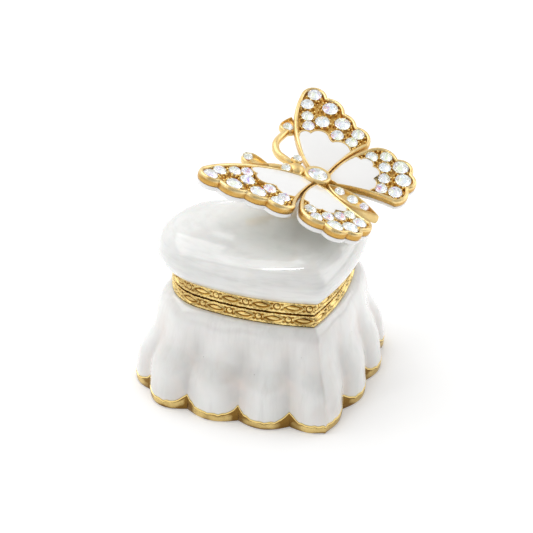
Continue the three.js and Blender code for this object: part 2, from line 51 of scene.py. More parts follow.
SEAM_HEART = dict(lobe_x=10.1, lobe_r=13.1, point=27.1, side_r=61, cleft_r=4, shift=0)
FOOT_HEART = dict(lobe_x=14.2, lobe_r=18.3, point=35.1, side_r=81, cleft_r=5, shift=1.2)
BAND_T = 1.5
BAND_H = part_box("lid_bezel")[1].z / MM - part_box("lid_bezel")[0].z / MM
SEAM_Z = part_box("lid_bezel")[0].z / MM - 0.15
SKIRT_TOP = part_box("base_shell")[1].z / MM
FOOT_BAND_H = 2.4
FLUTES = 7
FIRST_FLUTE = 0.2
FLUTE_DEPTH = 2.1
FLUTE_COLUMNS = 15
LID_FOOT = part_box("lid_shell")[0].z / MM
LID_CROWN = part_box("lid_shell")[1].z / MM
HINGE_Y = 15.1
HINGE_HALF = 6

BUTTERFLY_PLACE = (12.9, -4, 49.5)
BUTTERFLY_PITCH = 16
BUTTERFLY_YAW = 33.4


def turn(degrees, axis):
    return Matrix.Rotation(math.radians(degrees), 4, axis)


def shift(x, y, z):
    return Matrix.Translation(Vector((x, y, z)) * MM)


def scale(x, y, z):
    return Matrix.Diagonal((x, y, z, 1))


BUTTERFLY = shift(*BUTTERFLY_PLACE) @ turn(BUTTERFLY_YAW, "Z") @ turn(BUTTERFLY_PITCH, "X")
MIRROR = Matrix.Scale(-1, 4, (1, 0, 0))
RIGHT_WINGS = BUTTERFLY @ turn(-13, "Y")
LEFT_WINGS = BUTTERFLY @ MIRROR @ shift(0, 0.3, 1) @ turn(-3.3, "Z") @ turn(1.1, "X") @ turn(-11.3, "Y")
LEFT_FOREWING_STRETCH = 1.035
SIDES = {"right": (RIGHT_WINGS, BUTTERFLY), "left": (LEFT_WINGS, BUTTERFLY @ MIRROR)}


# ---- modelling helpers ---------------------------------------------------------------------------------

MERGE = 2e-6  # points closer than this, in metres, are one


def deselect():
    if bpy.context.mode != "OBJECT":
        bpy.ops.object.mode_set(mode="OBJECT")
    bpy.ops.object.select_all(action="DESELECT")


def pick(piece):
    deselect()
    piece.select_set(True)
    bpy.context.view_layer.objects.active = piece


def edit(piece):
    pick(piece)
    bpy.ops.object.mode_set(mode="EDIT")
    bpy.ops.mesh.select_all(action="SELECT")


def done():
    bpy.ops.object.mode_set(mode="OBJECT")


def settle(piece, matrix=None):
    """Puts the piece's place into its mesh, so that its object sits at the origin."""
    bpy.context.view_layer.update()
    piece.data.transform((matrix or Matrix.Identity(4)) @ piece.matrix_world)
    piece.matrix_world = Matrix.Identity(4)
    return piece


def tidy(piece):
    """Merges what meets, and turns the faces outwards."""
    edit(piece)
    bpy.ops.mesh.remove_doubles(threshold=MERGE)
    bpy.ops.mesh.normals_make_consistent(inside=False)
    done()
    return piece


def smooth(piece, angle=40):
    pick(piece)
    bpy.ops.object.shade_smooth_by_angle(angle=math.radians(angle))
    return piece


def modifier(piece, kind, **settings):
    pick(piece)
    made = piece.modifiers.new(kind.title(), kind)
    for key, value in settings.items():
        setattr(made, key, value)
    bpy.ops.object.modifier_apply(modifier=made.name)
    return piece


def rounded(piece, width, segments, angle=50):
    """Rounds the edges that are sharper than the angle."""
    limit = math.radians(angle)
    return modifier(
        piece, "BEVEL", width=width * MM, segments=segments, limit_method="ANGLE", angle_limit=limit
    )


def cut(piece, cutter, operation="DIFFERENCE", **settings):
    """Cuts the piece with another, which is used up."""
    modifier(piece, "BOOLEAN", object=cutter, operation=operation, solver="EXACT", **settings)
    bpy.data.objects.remove(cutter)


def copy_of(piece, name):
    twin = piece.copy()
    twin.data = piece.data.copy()
    twin.name = name
    bpy.context.collection.objects.link(twin)
    return twin


def joined(pieces, name):
    deselect()
    for piece in pieces:
        piece.select_set(True)
    bpy.context.view_layer.objects.active = pieces[0]
    bpy.ops.object.join()
    whole = bpy.context.object
    whole.name = name
    return whole


def level(x, y, z):
    """A ring of points at one height."""
    return np.stack([x, y, np.full_like(x, z)], 1)


def turns(sides):
    """Angles evenly round a circle."""
    return np.arange(sides) * 2 * math.pi / sides


def loft(name, rows, closed=True, paint=None):
    """A grid bent round through rows of points, each row a ring; closed joins the last row to the first."""
    rows = np.asarray(rows, float)
    count, ring = rows.shape[:2]
    spans = count if closed else count - 1
    deselect()
    bpy.ops.mesh.primitive_grid_add(x_subdivisions=ring, y_subdivisions=spans, size=1)
    piece = bpy.context.object
    piece.name = name
    flat = np.zeros(len(piece.data.vertices) * 3)
    piece.data.vertices.foreach_get("co", flat)
    flat = flat.reshape(-1, 3)
    column = np.rint((flat[:, 0] + 0.5) * ring).astype(int) % ring
    row = np.rint((flat[:, 1] + 0.5) * spans).astype(int) % count
    piece.data.vertices.foreach_set("co", (rows[row, column] * MM).ravel())
    for label, values in (paint or {}).items():
        layer = piece.data.attributes.new(label, "FLOAT", "POINT")
        layer.data.foreach_set("value", np.asarray(values, float)[row, column])
    piece.data.update()
    return tidy(piece)


def cap(piece):
    """Fills the open ends of a lofted piece with one face each."""
    pick(piece)
    bpy.ops.object.mode_set(mode="EDIT")
    bpy.ops.mesh.select_mode(type="EDGE")
    bpy.ops.mesh.select_all(action="DESELECT")
    bpy.ops.mesh.select_non_manifold(
        extend=False, use_wire=False, use_multi_face=False, use_non_contiguous=False
    )
    bpy.ops.mesh.edge_face_add()
    bpy.ops.mesh.select_all(action="SELECT")
    bpy.ops.mesh.normals_make_consistent(inside=False)
    bpy.ops.mesh.select_mode(type="VERT")
    done()
    return piece


def finish_piece(piece, body, material, slot, replaces=()):
    piece.data.materials.clear()
    piece.data.materials.append(material)
    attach(piece, body)
    if replaces:
        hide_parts(*replaces)
    return piece


# ---- the heart -----------------------------------------------------------------------------------------


def heart(u, grow, lobe_x, lobe_r, point, side_r, cleft_r, shift):
    """Points and outward normals round a heart: u is 0 and 1 at its point, and 0.5 at its cleft."""
    u = np.asarray(u, float)
    grow = np.broadcast_to(np.asarray(grow, float), u.shape)
    reach = math.hypot(lobe_x, point)
    along = (reach**2 + side_r**2 - (side_r - lobe_r) ** 2) / (2 * reach)
    across = math.sqrt(side_r**2 - along**2)
    ux, uy = lobe_x / reach, point / reach
    side_x = ux * along - uy * across
    side_y = -point + uy * along + ux * across
    cleft_y = math.sqrt((lobe_r + cleft_r) ** 2 - lobe_x**2)
    tangent = math.atan2(-side_y, lobe_x - side_x)
    lobe_end = math.atan2(cleft_y, -lobe_x)
    rest_start = -math.acos(-side_x / side_r)
    side_length = side_r * (tangent - rest_start)
    lobe_length = lobe_r * (lobe_end - tangent)
    cleft_length = cleft_r * (lobe_end - math.pi / 2)
    share = 1 - np.abs(1 - 2 * u)
    run = share * (side_length + lobe_length + cleft_length)
    start = -np.arccos(-side_x / (side_r + grow))
    on_side = start + (tangent - start) * np.clip(run / side_length, 0, 1)
    on_lobe = tangent + (lobe_end - tangent) * np.clip((run - side_length) / lobe_length, 0, 1)
    left = np.clip((run - side_length - lobe_length) / cleft_length, 0, 1)
    in_cleft = lobe_end - math.pi + (math.pi / 2 - lobe_end) * left
    zones = [run <= side_length, run <= side_length + lobe_length]
    x = np.select(
        zones,
        [side_x + (side_r + grow) * np.cos(on_side), lobe_x + (lobe_r + grow) * np.cos(on_lobe)],
        (cleft_r - grow) * np.cos(in_cleft),
    )
    y = np.select(
        zones,
        [side_y + (side_r + grow) * np.sin(on_side), (lobe_r + grow) * np.sin(on_lobe)],
        cleft_y + (cleft_r - grow) * np.sin(in_cleft),
    )
    nx = np.select(zones, [np.cos(on_side), np.cos(on_lobe)], -np.cos(in_cleft))
    ny = np.select(zones, [np.sin(on_side), np.sin(on_lobe)], -np.sin(in_cleft))
    mirror = np.where(u > 0.5, -1.0, 1.0)
    return x * mirror, y + shift, nx * mirror, ny


def heart_length():
    """Length of half the seam heart."""
    u = np.linspace(0, 0.5, 4001)
    x, y, _, _ = heart(u, 0, **SEAM_HEART)
    return float(np.hypot(np.diff(x), np.diff(y)).sum())


def smoothstep(value, low, high):
    t = np.clip((value - low) / (high - low), 0, 1)
    return t * t * (3 - 2 * t)


def curve_through(points, steps):
    """A smooth curve through rows of numbers, a Catmull-Rom spline with its ends held."""
    p = np.asarray(points, float)
    p = np.vstack([2 * p[0] - p[1], p, 2 * p[-1] - p[-2]])
    out = []
    for i in range(1, len(p) - 2):
        for t in np.arange(steps) / steps:
            a, b, c, d = p[i - 1 : i + 3]
            square = 2 * a - 5 * b + 4 * c - d
            cube = 3 * b - a - 3 * c + d
            out.append(0.5 * (2 * b + (c - a) * t + square * t * t + cube * t**3))
    out.append(p[-2])
    return np.array(out)


def wander(x, y, z, size, seed):
    """A slow, smooth unevenness between -1 and 1, as hand work leaves."""
    rng = random.Random(seed)
    total = np.zeros_like(x)
    for _ in range(5):
        direction = Vector([rng.uniform(-1, 1) for _ in range(3)]).normalized()
        length = size * rng.uniform(0.6, 1.5)
        along = x * direction.x + y * direction.y + z * direction.z
        total += np.sin(along * 2 * math.pi / length + rng.uniform(0, 6.3))
    return total / 5


# ---- skirt ---------------------------------------------------------------------------------------------


def flute_columns():
    """Columns round the skirt: place round the heart, and how far along the scallops each one is."""
    half = round((FLUTES - FIRST_FLUTE) * FLUTE_COLUMNS)
    phase = FIRST_FLUTE + np.arange(half + 1) / FLUTE_COLUMNS
    share = (phase - FIRST_FLUTE) / (FLUTES - FIRST_FLUTE)
    right = share / 2
    left = 1 - share[1:-1][::-1] ** 1.1 / 2
    return np.concatenate([right, left]), np.concatenate([phase, phase[1:-1][::-1]])


U_SKIRT, PHASE = flute_columns()
SCALLOP = np.abs(np.sin(np.pi * PHASE))
SOFT_SCALLOP = np.sin(np.pi * PHASE) ** 2


def flare(down):
    shoulder = 0.34 * (1 - np.exp(-down / 0.07))
    return shoulder + 0.3 * smoothstep(down, 0.36, 0.78) + 0.36 * down


def skirt_ring(z, inset):
    """One ring of the skirt; z may differ from column to column, and inset draws the ring in."""
    z = np.broadcast_to(np.asarray(z, float), U_SKIRT.shape)
    inset = np.broadcast_to(np.asarray(inset, float), U_SKIRT.shape)
    down = np.clip((SKIRT_TOP - z) / (SKIRT_TOP - FOOT_BAND_H), 0, 1)
    sharp = smoothstep(down, 0.15, 0.75)
    relief = 1 - (SCALLOP * sharp + SOFT_SCALLOP * (1 - sharp))
    relief = relief * smoothstep(PHASE, FIRST_FLUTE - 0.1, 0.6)
    depth = FLUTE_DEPTH * (0.28 + 0.72 * down**0.8) * relief
    x1, y1, nx, ny = heart(U_SKIRT, 0, **FOOT_HEART)
    x0, y0, _, _ = heart(U_SKIRT, 0, **SEAM_HEART)
    f = flare(down)
    x = x0 + (x1 - nx * depth - x0) * f - nx * inset
    y = y0 + (y1 - ny * depth - y0) * f - ny * inset
    uneven = 0.12 * wander(x, y, z, 14, 3) * smoothstep(down, 0.02, 0.2)
    x = x + nx * uneven
    y = y + ny * uneven
    middle = len(U_SKIRT) // 2
    x[0] = 0
    x[middle] = 0
    return np.stack([x, y, z], 1)


EDGE_RAGGED = 0.13 * np.sin(PHASE * 29) + 0.1 * np.sin(PHASE * 53 + 1)
ENAMEL_EDGE = 2.1 + 2.3 * (1 - SCALLOP) ** 2.2 * smoothstep(PHASE, 0.15, 0.6) + EDGE_RAGGED


def skirt_enamel():
    rows = []
    groove = []
    face = [(0, 0.3), (0.006, 0.12), (0.016, 0.02)] + [(v, 0) for v in np.linspace(0.03, 1, 62) ** 1.15]
    back = [(1, 0.42), (0.6, 0.42), (0.3, 0.42), (0.1, 0.42), (0, 0.42)]
    top = SKIRT_TOP - 0.15
    for v, inset in face + back:
        z = ENAMEL_EDGE + (top - ENAMEL_EDGE) * v
        rows.append(skirt_ring(z, inset))
        # the groove mask, strongest in the grooves towards the hem, where the enamel gets painted shade
        groove.append((1 - SCALLOP) * smoothstep(1 - v, 0, 0.5))
    return smooth(loft("skirt_enamel", rows, paint={"groove": groove}), 60)


def foot_casting():
    """The gilt casting: the foot that shows below the enamel, and the inside wall."""
    edge = ENAMEL_EDGE
    rows = [
        skirt_ring(0.0, 0.5),
        skirt_ring(0.12, 0.22),
        skirt_ring(0.45, 0.08),
        skirt_ring(edge * 0.45, 0.04),
        skirt_ring(edge * 0.72, 0.14),
        skirt_ring(edge - 0.42, 0.2),
        skirt_ring(edge - 0.2, -0.06),
        skirt_ring(edge + 0.08, -0.04),
        skirt_ring(edge + 0.16, 0.3),
        skirt_ring(edge + 0.3, 0.5),
    ]
    # the bead at the enamel's edge, painted lighter as a highlight
    shine = [0, 0, 0, 0, 0, 0, 1, 1, 0.6, 0]
    # how light each row of the foot is: low values darken it, as painted shade at its bottom edge by the
    # floor and in the hollow just below the bead
    wear_and_shade = [0.1, 0.2, 0.45, 0.62, 0.55, 0.2, 0.9, 1, 1, 1]
    for v in (0.1, 0.25, 0.4, 0.55, 0.7, 0.85, 0.95, 1):
        rows.append(skirt_ring(edge + (SKIRT_TOP - 0.15 - edge) * v, 0.5))
    wall = [(SKIRT_TOP - 0.15, 1.8), (24, 2), (20, 2.2), (14, 2.4), (8, 2.6)]
    wall += [(1.95, 2.6), (1.95, 1.9), (0, 1.9)]
    rows += [skirt_ring(z, inset) for z, inset in wall]
    paint = {}
    for label, values, rest in (("edge_shine", shine, 0), ("wear_and_shade", wear_and_shade, 0.7)):
        values = values + [rest] * (len(rows) - len(values))
        paint[label] = [np.full(len(U_SKIRT), value) for value in values]
    # the foot's outer rows are darkened further at the cusps as painted shade, with random blotches that
    # stand for wear
    for row in range(6):
        blotch = 0.5 * wander(rows[row][:, 0], rows[row][:, 1], rows[row][:, 2], 5, 12)
        paint["wear_and_shade"][row] = np.clip(paint["wear_and_shade"][row] - 0.75 * (1 - SCALLOP) ** 2 + blotch, 0, 1)
    return smooth(loft("foot_casting", rows, paint=paint), 35)


# ---- stamped bands -------------------------------------------------------------------------------------

BAND_COLUMNS = 1280
BAND_ROWS = 30


def stamped(run, height, pitch, first):
    """Relief of the stamped strip: pointed ovals with a seed in each, and buttons between them."""
    s = ((run - first) / pitch) % 1
    near = np.minimum(s, 1 - s) * pitch  # distance from the middle of the oval
    far = pitch / 2 - near  # distance from the middle of the button
    v = np.abs((height - 0.5) * BAND_H)
    oval = 2.5
    arc = np.where(near < oval, 0.9 * np.cos(np.clip(near / oval, 0, 1) * math.pi / 2) ** 0.75, 0)
    ridge = np.exp(-(((v - arc) / 0.19) ** 2)) * (near < oval + 0.2)
    seed = np.clip(1 - (near / 1.6) ** 2 - (v / 0.42) ** 2, 0, 1) ** 0.5
    button = np.clip(1 - (far / 0.62) ** 2 - (v / 0.62) ** 2, 0, 1) ** 0.5
    outside = smoothstep(v - arc, -0.1, 0.12) + (near >= oval)
    ring = np.exp(-(((np.hypot(far, v) - 0.78) / 0.13) ** 2))
    pit = np.clip(1 - ((near - oval - 0.1) / 0.45) ** 2 - ((v - 0.6) / 0.3) ** 2, 0, 1)
    line = np.exp(-(((v - arc - 0.4) / 0.06) ** 2)) * (near < oval)
    ground = 0.3 * np.clip(outside, 0, 1) * np.clip(1 - ring - 1.6 * pit - 0.5 * line, 0, 1)
    mill = 0.75 + 0.25 * np.cos(run * 2 * math.pi / (pitch / 9))
    border = smoothstep(v, 1.0, 1.15) * (1 - smoothstep(v, 1.24, 1.35)) * mill
    edge = 1 - smoothstep(v, 1.24, 1.35)
    return np.maximum.reduce([0.46 * ridge, 0.42 * seed, 0.48 * button, ground * edge, 0.4 * border])


def band_rows(low, high, pitch, first, depth_points):
    u = np.arange(BAND_COLUMNS) / BAND_COLUMNS
    run = (1 - np.abs(1 - 2 * u)) * heart_length()
    rows = []
    relief_paint = []
    wavy = 0.07 * np.cos(run * 2 * math.pi / (pitch / 3))
    for height in np.linspace(0, 1, BAND_ROWS):
        rise = stamped(run, height, pitch, first)
        x, y, _, _ = heart(u, -0.42 + rise, **SEAM_HEART)
        z = low + (high - low) * height + wavy * (2 * height - 1) * 0.6
        rows.append(np.stack([x, y, z], 1))
        # the relief height, which the stamped finish uses to paint shade into the hollows
        relief_paint.append(rise / 0.45)
    for grow, z in depth_points:
        x, y, _, _ = heart(u, grow, **SEAM_HEART)
        rows.append(level(x, y, z))
        relief_paint.append(np.full_like(x, 0.5))
    return rows, relief_paint


WEB_BACK = -17.5


def web(name, z0, z1):
    """The small shelf across the inside of the point, under or over a magnet."""
    u = np.linspace(0, 1, 121)[:-1]
    x, y, _, _ = heart(u, -BAND_T - 0.2, **SEAM_HEART)
    piece = cap(loft(name, [level(x, y, z) for z in (z0, z1)], closed=False))
    edit(piece)
    bpy.ops.mesh.bisect(plane_co=(0, WEB_BACK * MM, 0), plane_no=(0, 1, 0), use_fill=True, clear_outer=True)
    done()
    return tidy(piece)


def lower_band():
    low = SKIRT_TOP + 0.05
    high = SEAM_Z - 0.2
    lip = -BAND_T - 0.3
    inside = [(-0.5, high), (lip, high), (lip, high + 0.95), (lip - 0.15, high + 1.1)]
    inside += [(lip - 0.65, high + 1.1), (lip - 0.8, high + 0.95), (lip - 0.8, low), (-0.5, low)]
    rows, relief = band_rows(low, high, 7.25, 2.4, inside)
    band = loft("base_bezel_stamped", rows, paint={"relief": relief})
    shelf = web("base_web", SKIRT_TOP + 0.3, SKIRT_TOP + 1.2)
    return smooth(joined([band, shelf], "base_bezel_stamped"), 50)


def upper_band():
    low = SEAM_Z + 0.2
    high = LID_FOOT - 0.05
    inside = [(-0.5, high), (-BAND_T, high), (-BAND_T, low + 0.15), (-BAND_T + 0.15, low), (-0.5, low)]
    rows, relief = band_rows(low, high, 7.65, 4.9, inside)
    band = loft("lid_bezel_stamped", rows, paint={"relief": relief})
    shelf = web("lid_web", SEAM_Z + 1.95, SEAM_Z + 2.85)
    return smooth(joined([band, shelf], "lid_bezel_stamped"), 50)


# ---- lid -----------------------------------------------------------------------------------------------

LID_CENTRE_Y = -3
LID_SIDE = [
    (-0.5, LID_FOOT + 0.05, 1),
    (0.2, LID_FOOT + 0.1, 1),
    (1.55, LID_FOOT + 1.1, 1),
    (2.8, LID_FOOT + 2.8, 1),
    (3.35, LID_FOOT + 4.7, 1),
    (2.9, LID_FOOT + 6.6, 1),
    (1.6, LID_FOOT + 8.4, 1),
    (-0.4, LID_FOOT + 9.8, 1),
    (-2.6, LID_FOOT + 10.6, 1),
    (-3.2, LID_FOOT + 11.05, 0.9),
    (-3.2, LID_CROWN - 0.9, 0.68),
    (-3.2, LID_CROWN - 0.35, 0.42),
    (-3.2, LID_CROWN - 0.08, 0.18),
    (-3.2, LID_CROWN, 0),
]


def eased_point(ring, passes):
    """The ring with its corner at the point of the heart rounded."""
    place = np.arange(len(ring)) / len(ring)
    share = 0.8 * np.exp(-((np.minimum(place, 1 - place) / 0.04) ** 2))
    for _ in range(passes):
        ring = ring + share[:, None] * ((np.roll(ring, 1, 0) + np.roll(ring, -1, 0)) / 2 - ring)
    return ring


def cushion_rows(profile, steps, uneven=0.0):
    u = np.arange(360) / 360
    rows = []
    for grow, z, size in curve_through(profile, steps):
        x, y, nx, ny = heart(u, grow, **SEAM_HEART)
        x = x * size
        y = LID_CENTRE_Y + (y - LID_CENTRE_Y) * size
        lift = uneven * wander(x, y, np.full_like(x, z), 17, 8)
        outward = min(1.0, max(0.0, (LID_CROWN - z) / 6))
        out = lift * outward * size
        ring = np.stack([x + nx * out, y + ny * out, z + lift * (1 - outward)], 1)
        rows.append(eased_point(ring, round(26 * float(smoothstep(z, LID_FOOT + 0.4, LID_FOOT + 4.5)))))
    rows[-1][:] = rows[-1].mean(0)
    return rows


def lid_layer(start, inset, drop):
    """The lid's outer face taken in and down, for the hidden faces of its layers."""
    side = [(g - inset, z - drop, s) for g, z, s in LID_SIDE[2:]]
    return cushion_rows([(start, LID_FOOT + 0.05, 1)] + side, 2)


def lid_enamel():
    outer = cushion_rows(LID_SIDE, 6, uneven=0.1)
    inner = lid_layer(-0.9, 0.45, 0.4)
    piece = loft("lid_enamel", list(reversed(inner)) + outer, closed=False)
    return smooth(piece, 60)


def lid_lining():
    face = [
        (-1.7, LID_FOOT + 0.05, 1),
        (-1.75, LID_FOOT + 2.5, 1),
        (-1.6, LID_FOOT + 5.5, 1),
        (-2.4, LID_FOOT + 8.2, 1),
        (-5, LID_FOOT + 9.5, 1),
        (-5, LID_CROWN - 2.9, 0.7),
        (-5, LID_CROWN - 2.2, 0.35),
        (-5, LID_CROWN - 2, 0),
    ]
    rows = list(reversed(cushion_rows(face, 3))) + lid_layer(-1, 0.9, 0.8)
    piece = loft("lid_lining", rows, closed=False)
    return smooth(piece, 50)


# ---- hinge and catch -----------------------------------------------------------------------------------


def rod_along_x(name, radius, x0, x1, y, z, sides=40, bevel=0.12):
    deselect()
    bpy.ops.mesh.primitive_cylinder_add(
        vertices=sides,
        radius=radius * MM,
        depth=(x1 - x0) * MM,
        location=((x0 + x1) / 2 * MM, y * MM, z * MM),
        rotation=(0, math.pi / 2, 0),
    )
    piece = bpy.context.object
    piece.name = name
    return settle(rounded(piece, bevel, 2))


def leaf(name, z0, z1, knuckles, mates):
    """A hinge leaf behind the cleft, rolled into knuckles round the pin."""
    deselect()
    bpy.ops.mesh.primitive_cube_add(size=1)
    plate = bpy.context.object
    edge = HINGE_Y - 1.8
    plate.scale = (2 * HINGE_HALF * MM, (edge - 8) * MM, (z1 - z0) * MM)
    plate.location = (0, (edge + 8) / 2 * MM, (z0 + z1) / 2 * MM)
    settle(plate)
    u = np.linspace(0, 1, 181)[:-1]
    x, y, _, _ = heart(u, 0.3, **SEAM_HEART)
    cut(plate, cap(loft("cut", [level(x, y, z) for z in (z0 - 3, z1 + 3)], closed=False)))
    parts = [plate]
    for x0, x1 in knuckles:
        tab_low = max(z0, SEAM_Z - 1.45)
        tab_high = min(z1, SEAM_Z + 1.45)
        bpy.ops.mesh.primitive_cube_add(size=1)
        tab = bpy.context.object
        tab.scale = ((x1 - x0 - 0.1) * MM, (HINGE_Y - edge + 0.4) * MM, (tab_high - tab_low) * MM)
        tab.location = ((x0 + x1) / 2 * MM, (HINGE_Y + edge - 0.4) / 2 * MM, (tab_low + tab_high) / 2 * MM)
        parts += [settle(tab), rod_along_x("knuckle", 1.5, x0, x1, HINGE_Y, SEAM_Z)]
    whole = joined(parts, name)
    for x0, x1 in mates:
        cutter = rod_along_x("cut", 1.78, x0 - 0.28, x1 + 0.28, HINGE_Y, SEAM_Z, bevel=0.01)
        cut(whole, cutter, use_self=True)
    return smooth(whole, 40)


END_KNUCKLES = [(-6, -2.15), (2.15, 6)]
CENTRE_KNUCKLE = [(-1.85, 1.85)]


def hinge_pin():
    core = rod_along_x("pin", 0.6, -6.5, 6.5, HINGE_Y, SEAM_Z, 32)
    heads = [rod_along_x("head", 1.05, x, x + 0.5, HINGE_Y, SEAM_Z, 32, 0.2) for x in (-6.8, 6.3)]
    return smooth(joined([core] + heads, "hinge_pin_turned"), 40)


def magnet(name, node):
    low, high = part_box(node)
    deselect()
    middle = (low + high) / 2
    bpy.ops.mesh.primitive_cylinder_add(
        vertices=48, radius=(high.x - low.x) / 2, depth=high.z - low.z, location=middle
    )
    piece = bpy.context.object
    piece.name = name
    return smooth(settle(rounded(piece, 0.2, 3)), 40)


def floor_plate():
    x, y, nx, ny = heart(U_SKIRT, -4.35, **FOOT_HEART)
    profile = [(0.25, 0), (0, 0.2), (0, 1.3), (0.2, 1.5), (1.2, 1.5), (1.4, 1.35)]
    rows = [level(x - nx * i, y - ny * i, z) for i, z in profile]
    return smooth(cap(loft("floor_plate", rows, closed=False)), 40)


# ---- wings ---------------------------------------------------------------------------------------------


def outline(stretches, steps):
    """An outline of arcs, each through a start, a middle and an end; a pair of points is a straight."""
    points = []
    for stretch in stretches:
        if len(stretch) == 2:
            a, b = np.array(stretch, float)
            for i in range(4):
                points.append(a + (b - a) * i / 4)
            continue
        a, b, c = np.array(stretch, float)
        d = 2 * (a[0] * (b[1] - c[1]) + b[0] * (c[1] - a[1]) + c[0] * (a[1] - b[1]))
        aa, bb, cc = a @ a, b @ b, c @ c
        cx = (aa * (b[1] - c[1]) + bb * (c[1] - a[1]) + cc * (a[1] - b[1])) / d
        cy = (aa * (c[0] - b[0]) + bb * (a[0] - c[0]) + cc * (b[0] - a[0])) / d
        centre = np.array([cx, cy])
        radius = np.linalg.norm(a - centre)
        start = math.atan2(a[1] - cy, a[0] - cx)
        sweep = math.atan2(c[1] - cy, c[0] - cx) - start
        if d < 0 and sweep > 0:
            sweep -= 2 * math.pi
        if d > 0 and sweep < 0:
            sweep += 2 * math.pi
        for i in range(steps):
            angle = start + sweep * i / steps
            points.append(centre + radius * np.array([math.cos(angle), math.sin(angle)]))
    return np.array(points)


def drawn_in(points, distance):
    """The outline drawn in along its normals."""
    tangent = np.roll(points, -1, 0) - np.roll(points, 1, 0)
    tangent /= np.linalg.norm(tangent, axis=1)[:, None]
    area = np.sum(points[:, 0] * np.roll(points[:, 1], -1) - np.roll(points[:, 0], -1) * points[:, 1])
    side = 1 if area < 0 else -1
    return points + side * np.stack([tangent[:, 1] * distance, -tangent[:, 0] * distance], 1)


def inside(point, polygon):
    x, y = point
    hit = False
    for (x0, y0), (x1, y1) in zip(polygon, np.roll(polygon, -1, 0)):
        if (y0 > y) != (y1 > y) and x < (x1 - x0) * (y - y0) / (y1 - y0) + x0:
            hit = not hit
    return hit


def rim_share(points):
    """The rims are thin wires by the body, and swell round the stones."""
    return 0.5 + 0.5 * smoothstep(np.hypot(points[:, 0], points[:, 1]), 8, 16)


def slab(name, points, profile, share=1.0):
    """A flat piece with a shaped edge: profile says how far in, and how high, each ring of it is."""
    rows = []
    slab_height = []
    for distance, z in profile:
        ring = drawn_in(points, distance * share)
        rows.append(np.column_stack([ring, np.full(len(ring), z)]))
        # each ring's height, from which the rim finish paints shade low on the rim's side
        slab_height.append(smoothstep(np.full(len(ring), z), -1.0, -0.15))
    return cap(loft(name, rows, closed=False, paint={"slab_height": slab_height}))


ROOT_X = 2.5
FOREWING = dict(
    edge=[
        [(ROOT_X, 0.5), (ROOT_X, 4.6)],
        [(ROOT_X, 4.6), (12.6, 16.2), (22.8, 20.7)],
        [(22.8, 20.7), (26.9, 18.6), (25.6, 14.7)],
        [(25.6, 14.7), (26.2, 11.5), (23.9, 8.4)],
        [(23.9, 8.4), (23.8, 6), (22, 3.7)],
        [(22, 3.7), (22.2, 0.9), (18.2, -1.9)],
        [(18.2, -1.9), (10, 0.3), (ROOT_X, 0.5)],
    ],
    enamel=[
        [(0, -2), (0, 8)],
        [(0, 8), (10.8, 13.2)],
        [(10.8, 13.2), (12.4, 12.7), (12.6, 11.2)],
        [(12.6, 11.2), (14.8, 9.9), (14.3, 7)],
        [(14.3, 7), (13.8, 6.3), (13.6, 5.4)],
        [(13.6, 5.4), (15, 3.6), (14.2, 0.9)],
        [(14.2, 0.9), (12, -2)],
        [(12, -2), (0, -2)],
    ],
    stones=[
        (24.4, 17.8, 1.75),
        (20.5, 17.4, 1.6),
        (22.9, 12.2, 1.95),
        (17.1, 15.1, 1.5),
        (17.9, 11.2, 1.8),
        (20.5, 7, 1.95),
        (14.5, 13.1, 1.5),
        (16.4, 5.9, 1.6),
        (19.9, 2.1, 1.6),
        (16.7, 1.9, 1.5),
    ],
)
HINDWING = dict(
    edge=[
        [(ROOT_X, -3.1), (ROOT_X, 0.1)],
        [(ROOT_X, 0.1), (10, 0), (17.6, -2.5)],
        [(17.6, -2.5), (20.4, -6), (19.3, -9.9)],
        [(19.3, -9.9), (19.9, -13.2), (17.2, -15.3)],
        [(17.2, -15.3), (15.4, -17.6), (12.5, -17.1)],
        [(12.5, -17.1), (9.6, -18.2), (6.8, -16.8)],
        [(6.8, -16.8), (5.5, -10.4), (ROOT_X, -3.1)],
    ],
    enamel=[
        [(0, 2), (0, -9)],
        [(0, -9), (6.6, -10)],
        [(6.6, -10), (8.7, -10.2), (10, -8.5)],
        [(10, -8.5), (12.6, -8.6), (13, -6.4)],
        [(13, -6.4), (14.5, -5), (13.2, -3)],
        [(13.2, -3), (13.4, 2)],
        [(13.4, 2), (0, 2)],
    ],
    stones=[
        (15.8, -4.5, 1.5),
        (18.1, -7.2, 1.5),
        (14.9, -8.8, 1.5),
        (17.4, -11.8, 1.95),
        (11.7, -10.6, 1.5),
        (14.2, -14.5, 1.95),
        (8.5, -11.8, 1.5),
        (9.7, -15, 1.7),
    ],
)
WING_FLOOR = -1.1
RIM_PROFILE = [(1.0, -2.1), (0.45, -2.1), (0.2, -2.0), (0.05, -1.7), (0.0, -1.2), (0.02, -0.7), (0.1, -0.35)]
RIM_PROFILE += [(0.26, -0.1), (0.45, 0.0), (0.68, 0.0), (0.86, -0.1), (0.98, -0.3), (1.02, -0.7)]
RIM_PROFILE += [(1.08, WING_FLOOR)]


def wing_frame(plan, name):
    points = outline(plan["edge"], 14)
    return smooth(slab(name, points, RIM_PROFILE, rim_share(points)), 55)


def wing_region(plan, grow):
    """A block round the part of the wing by the body, up to the scalloped edge of the paving."""
    return slab("region", drawn_in(outline(plan["enamel"], 10), -grow), [(0, -3), (0, 2)])


def wing_wire(plan, name):
    """The fine wire that parts the enamel from the paving."""
    points = outline(plan["edge"], 14)
    wire = slab(name, drawn_in(points, 0.95 * rim_share(points)), [(0, -1.05), (0, -0.14)])
    cut(wire, wing_region(plan, 0.3), "INTERSECT", use_self=True)
    cut(wire, wing_region(plan, 0.02), use_self=True)
    return smooth(rounded(wire, 0.08, 2), 50)


def wing_enamel(plan, name):
    """The enamelled cell by the body: the rim's inside outline, cut to the scalloped edge of the paving."""
    points = outline(plan["edge"], 14)
    cell = slab(name, drawn_in(points, 0.9 * rim_share(points)), [(0, -1.0), (0, -0.2)])
    cut(cell, wing_region(plan, 0), "INTERSECT")
    return smooth(rounded(cell, 0.3, 4, 40), 50)


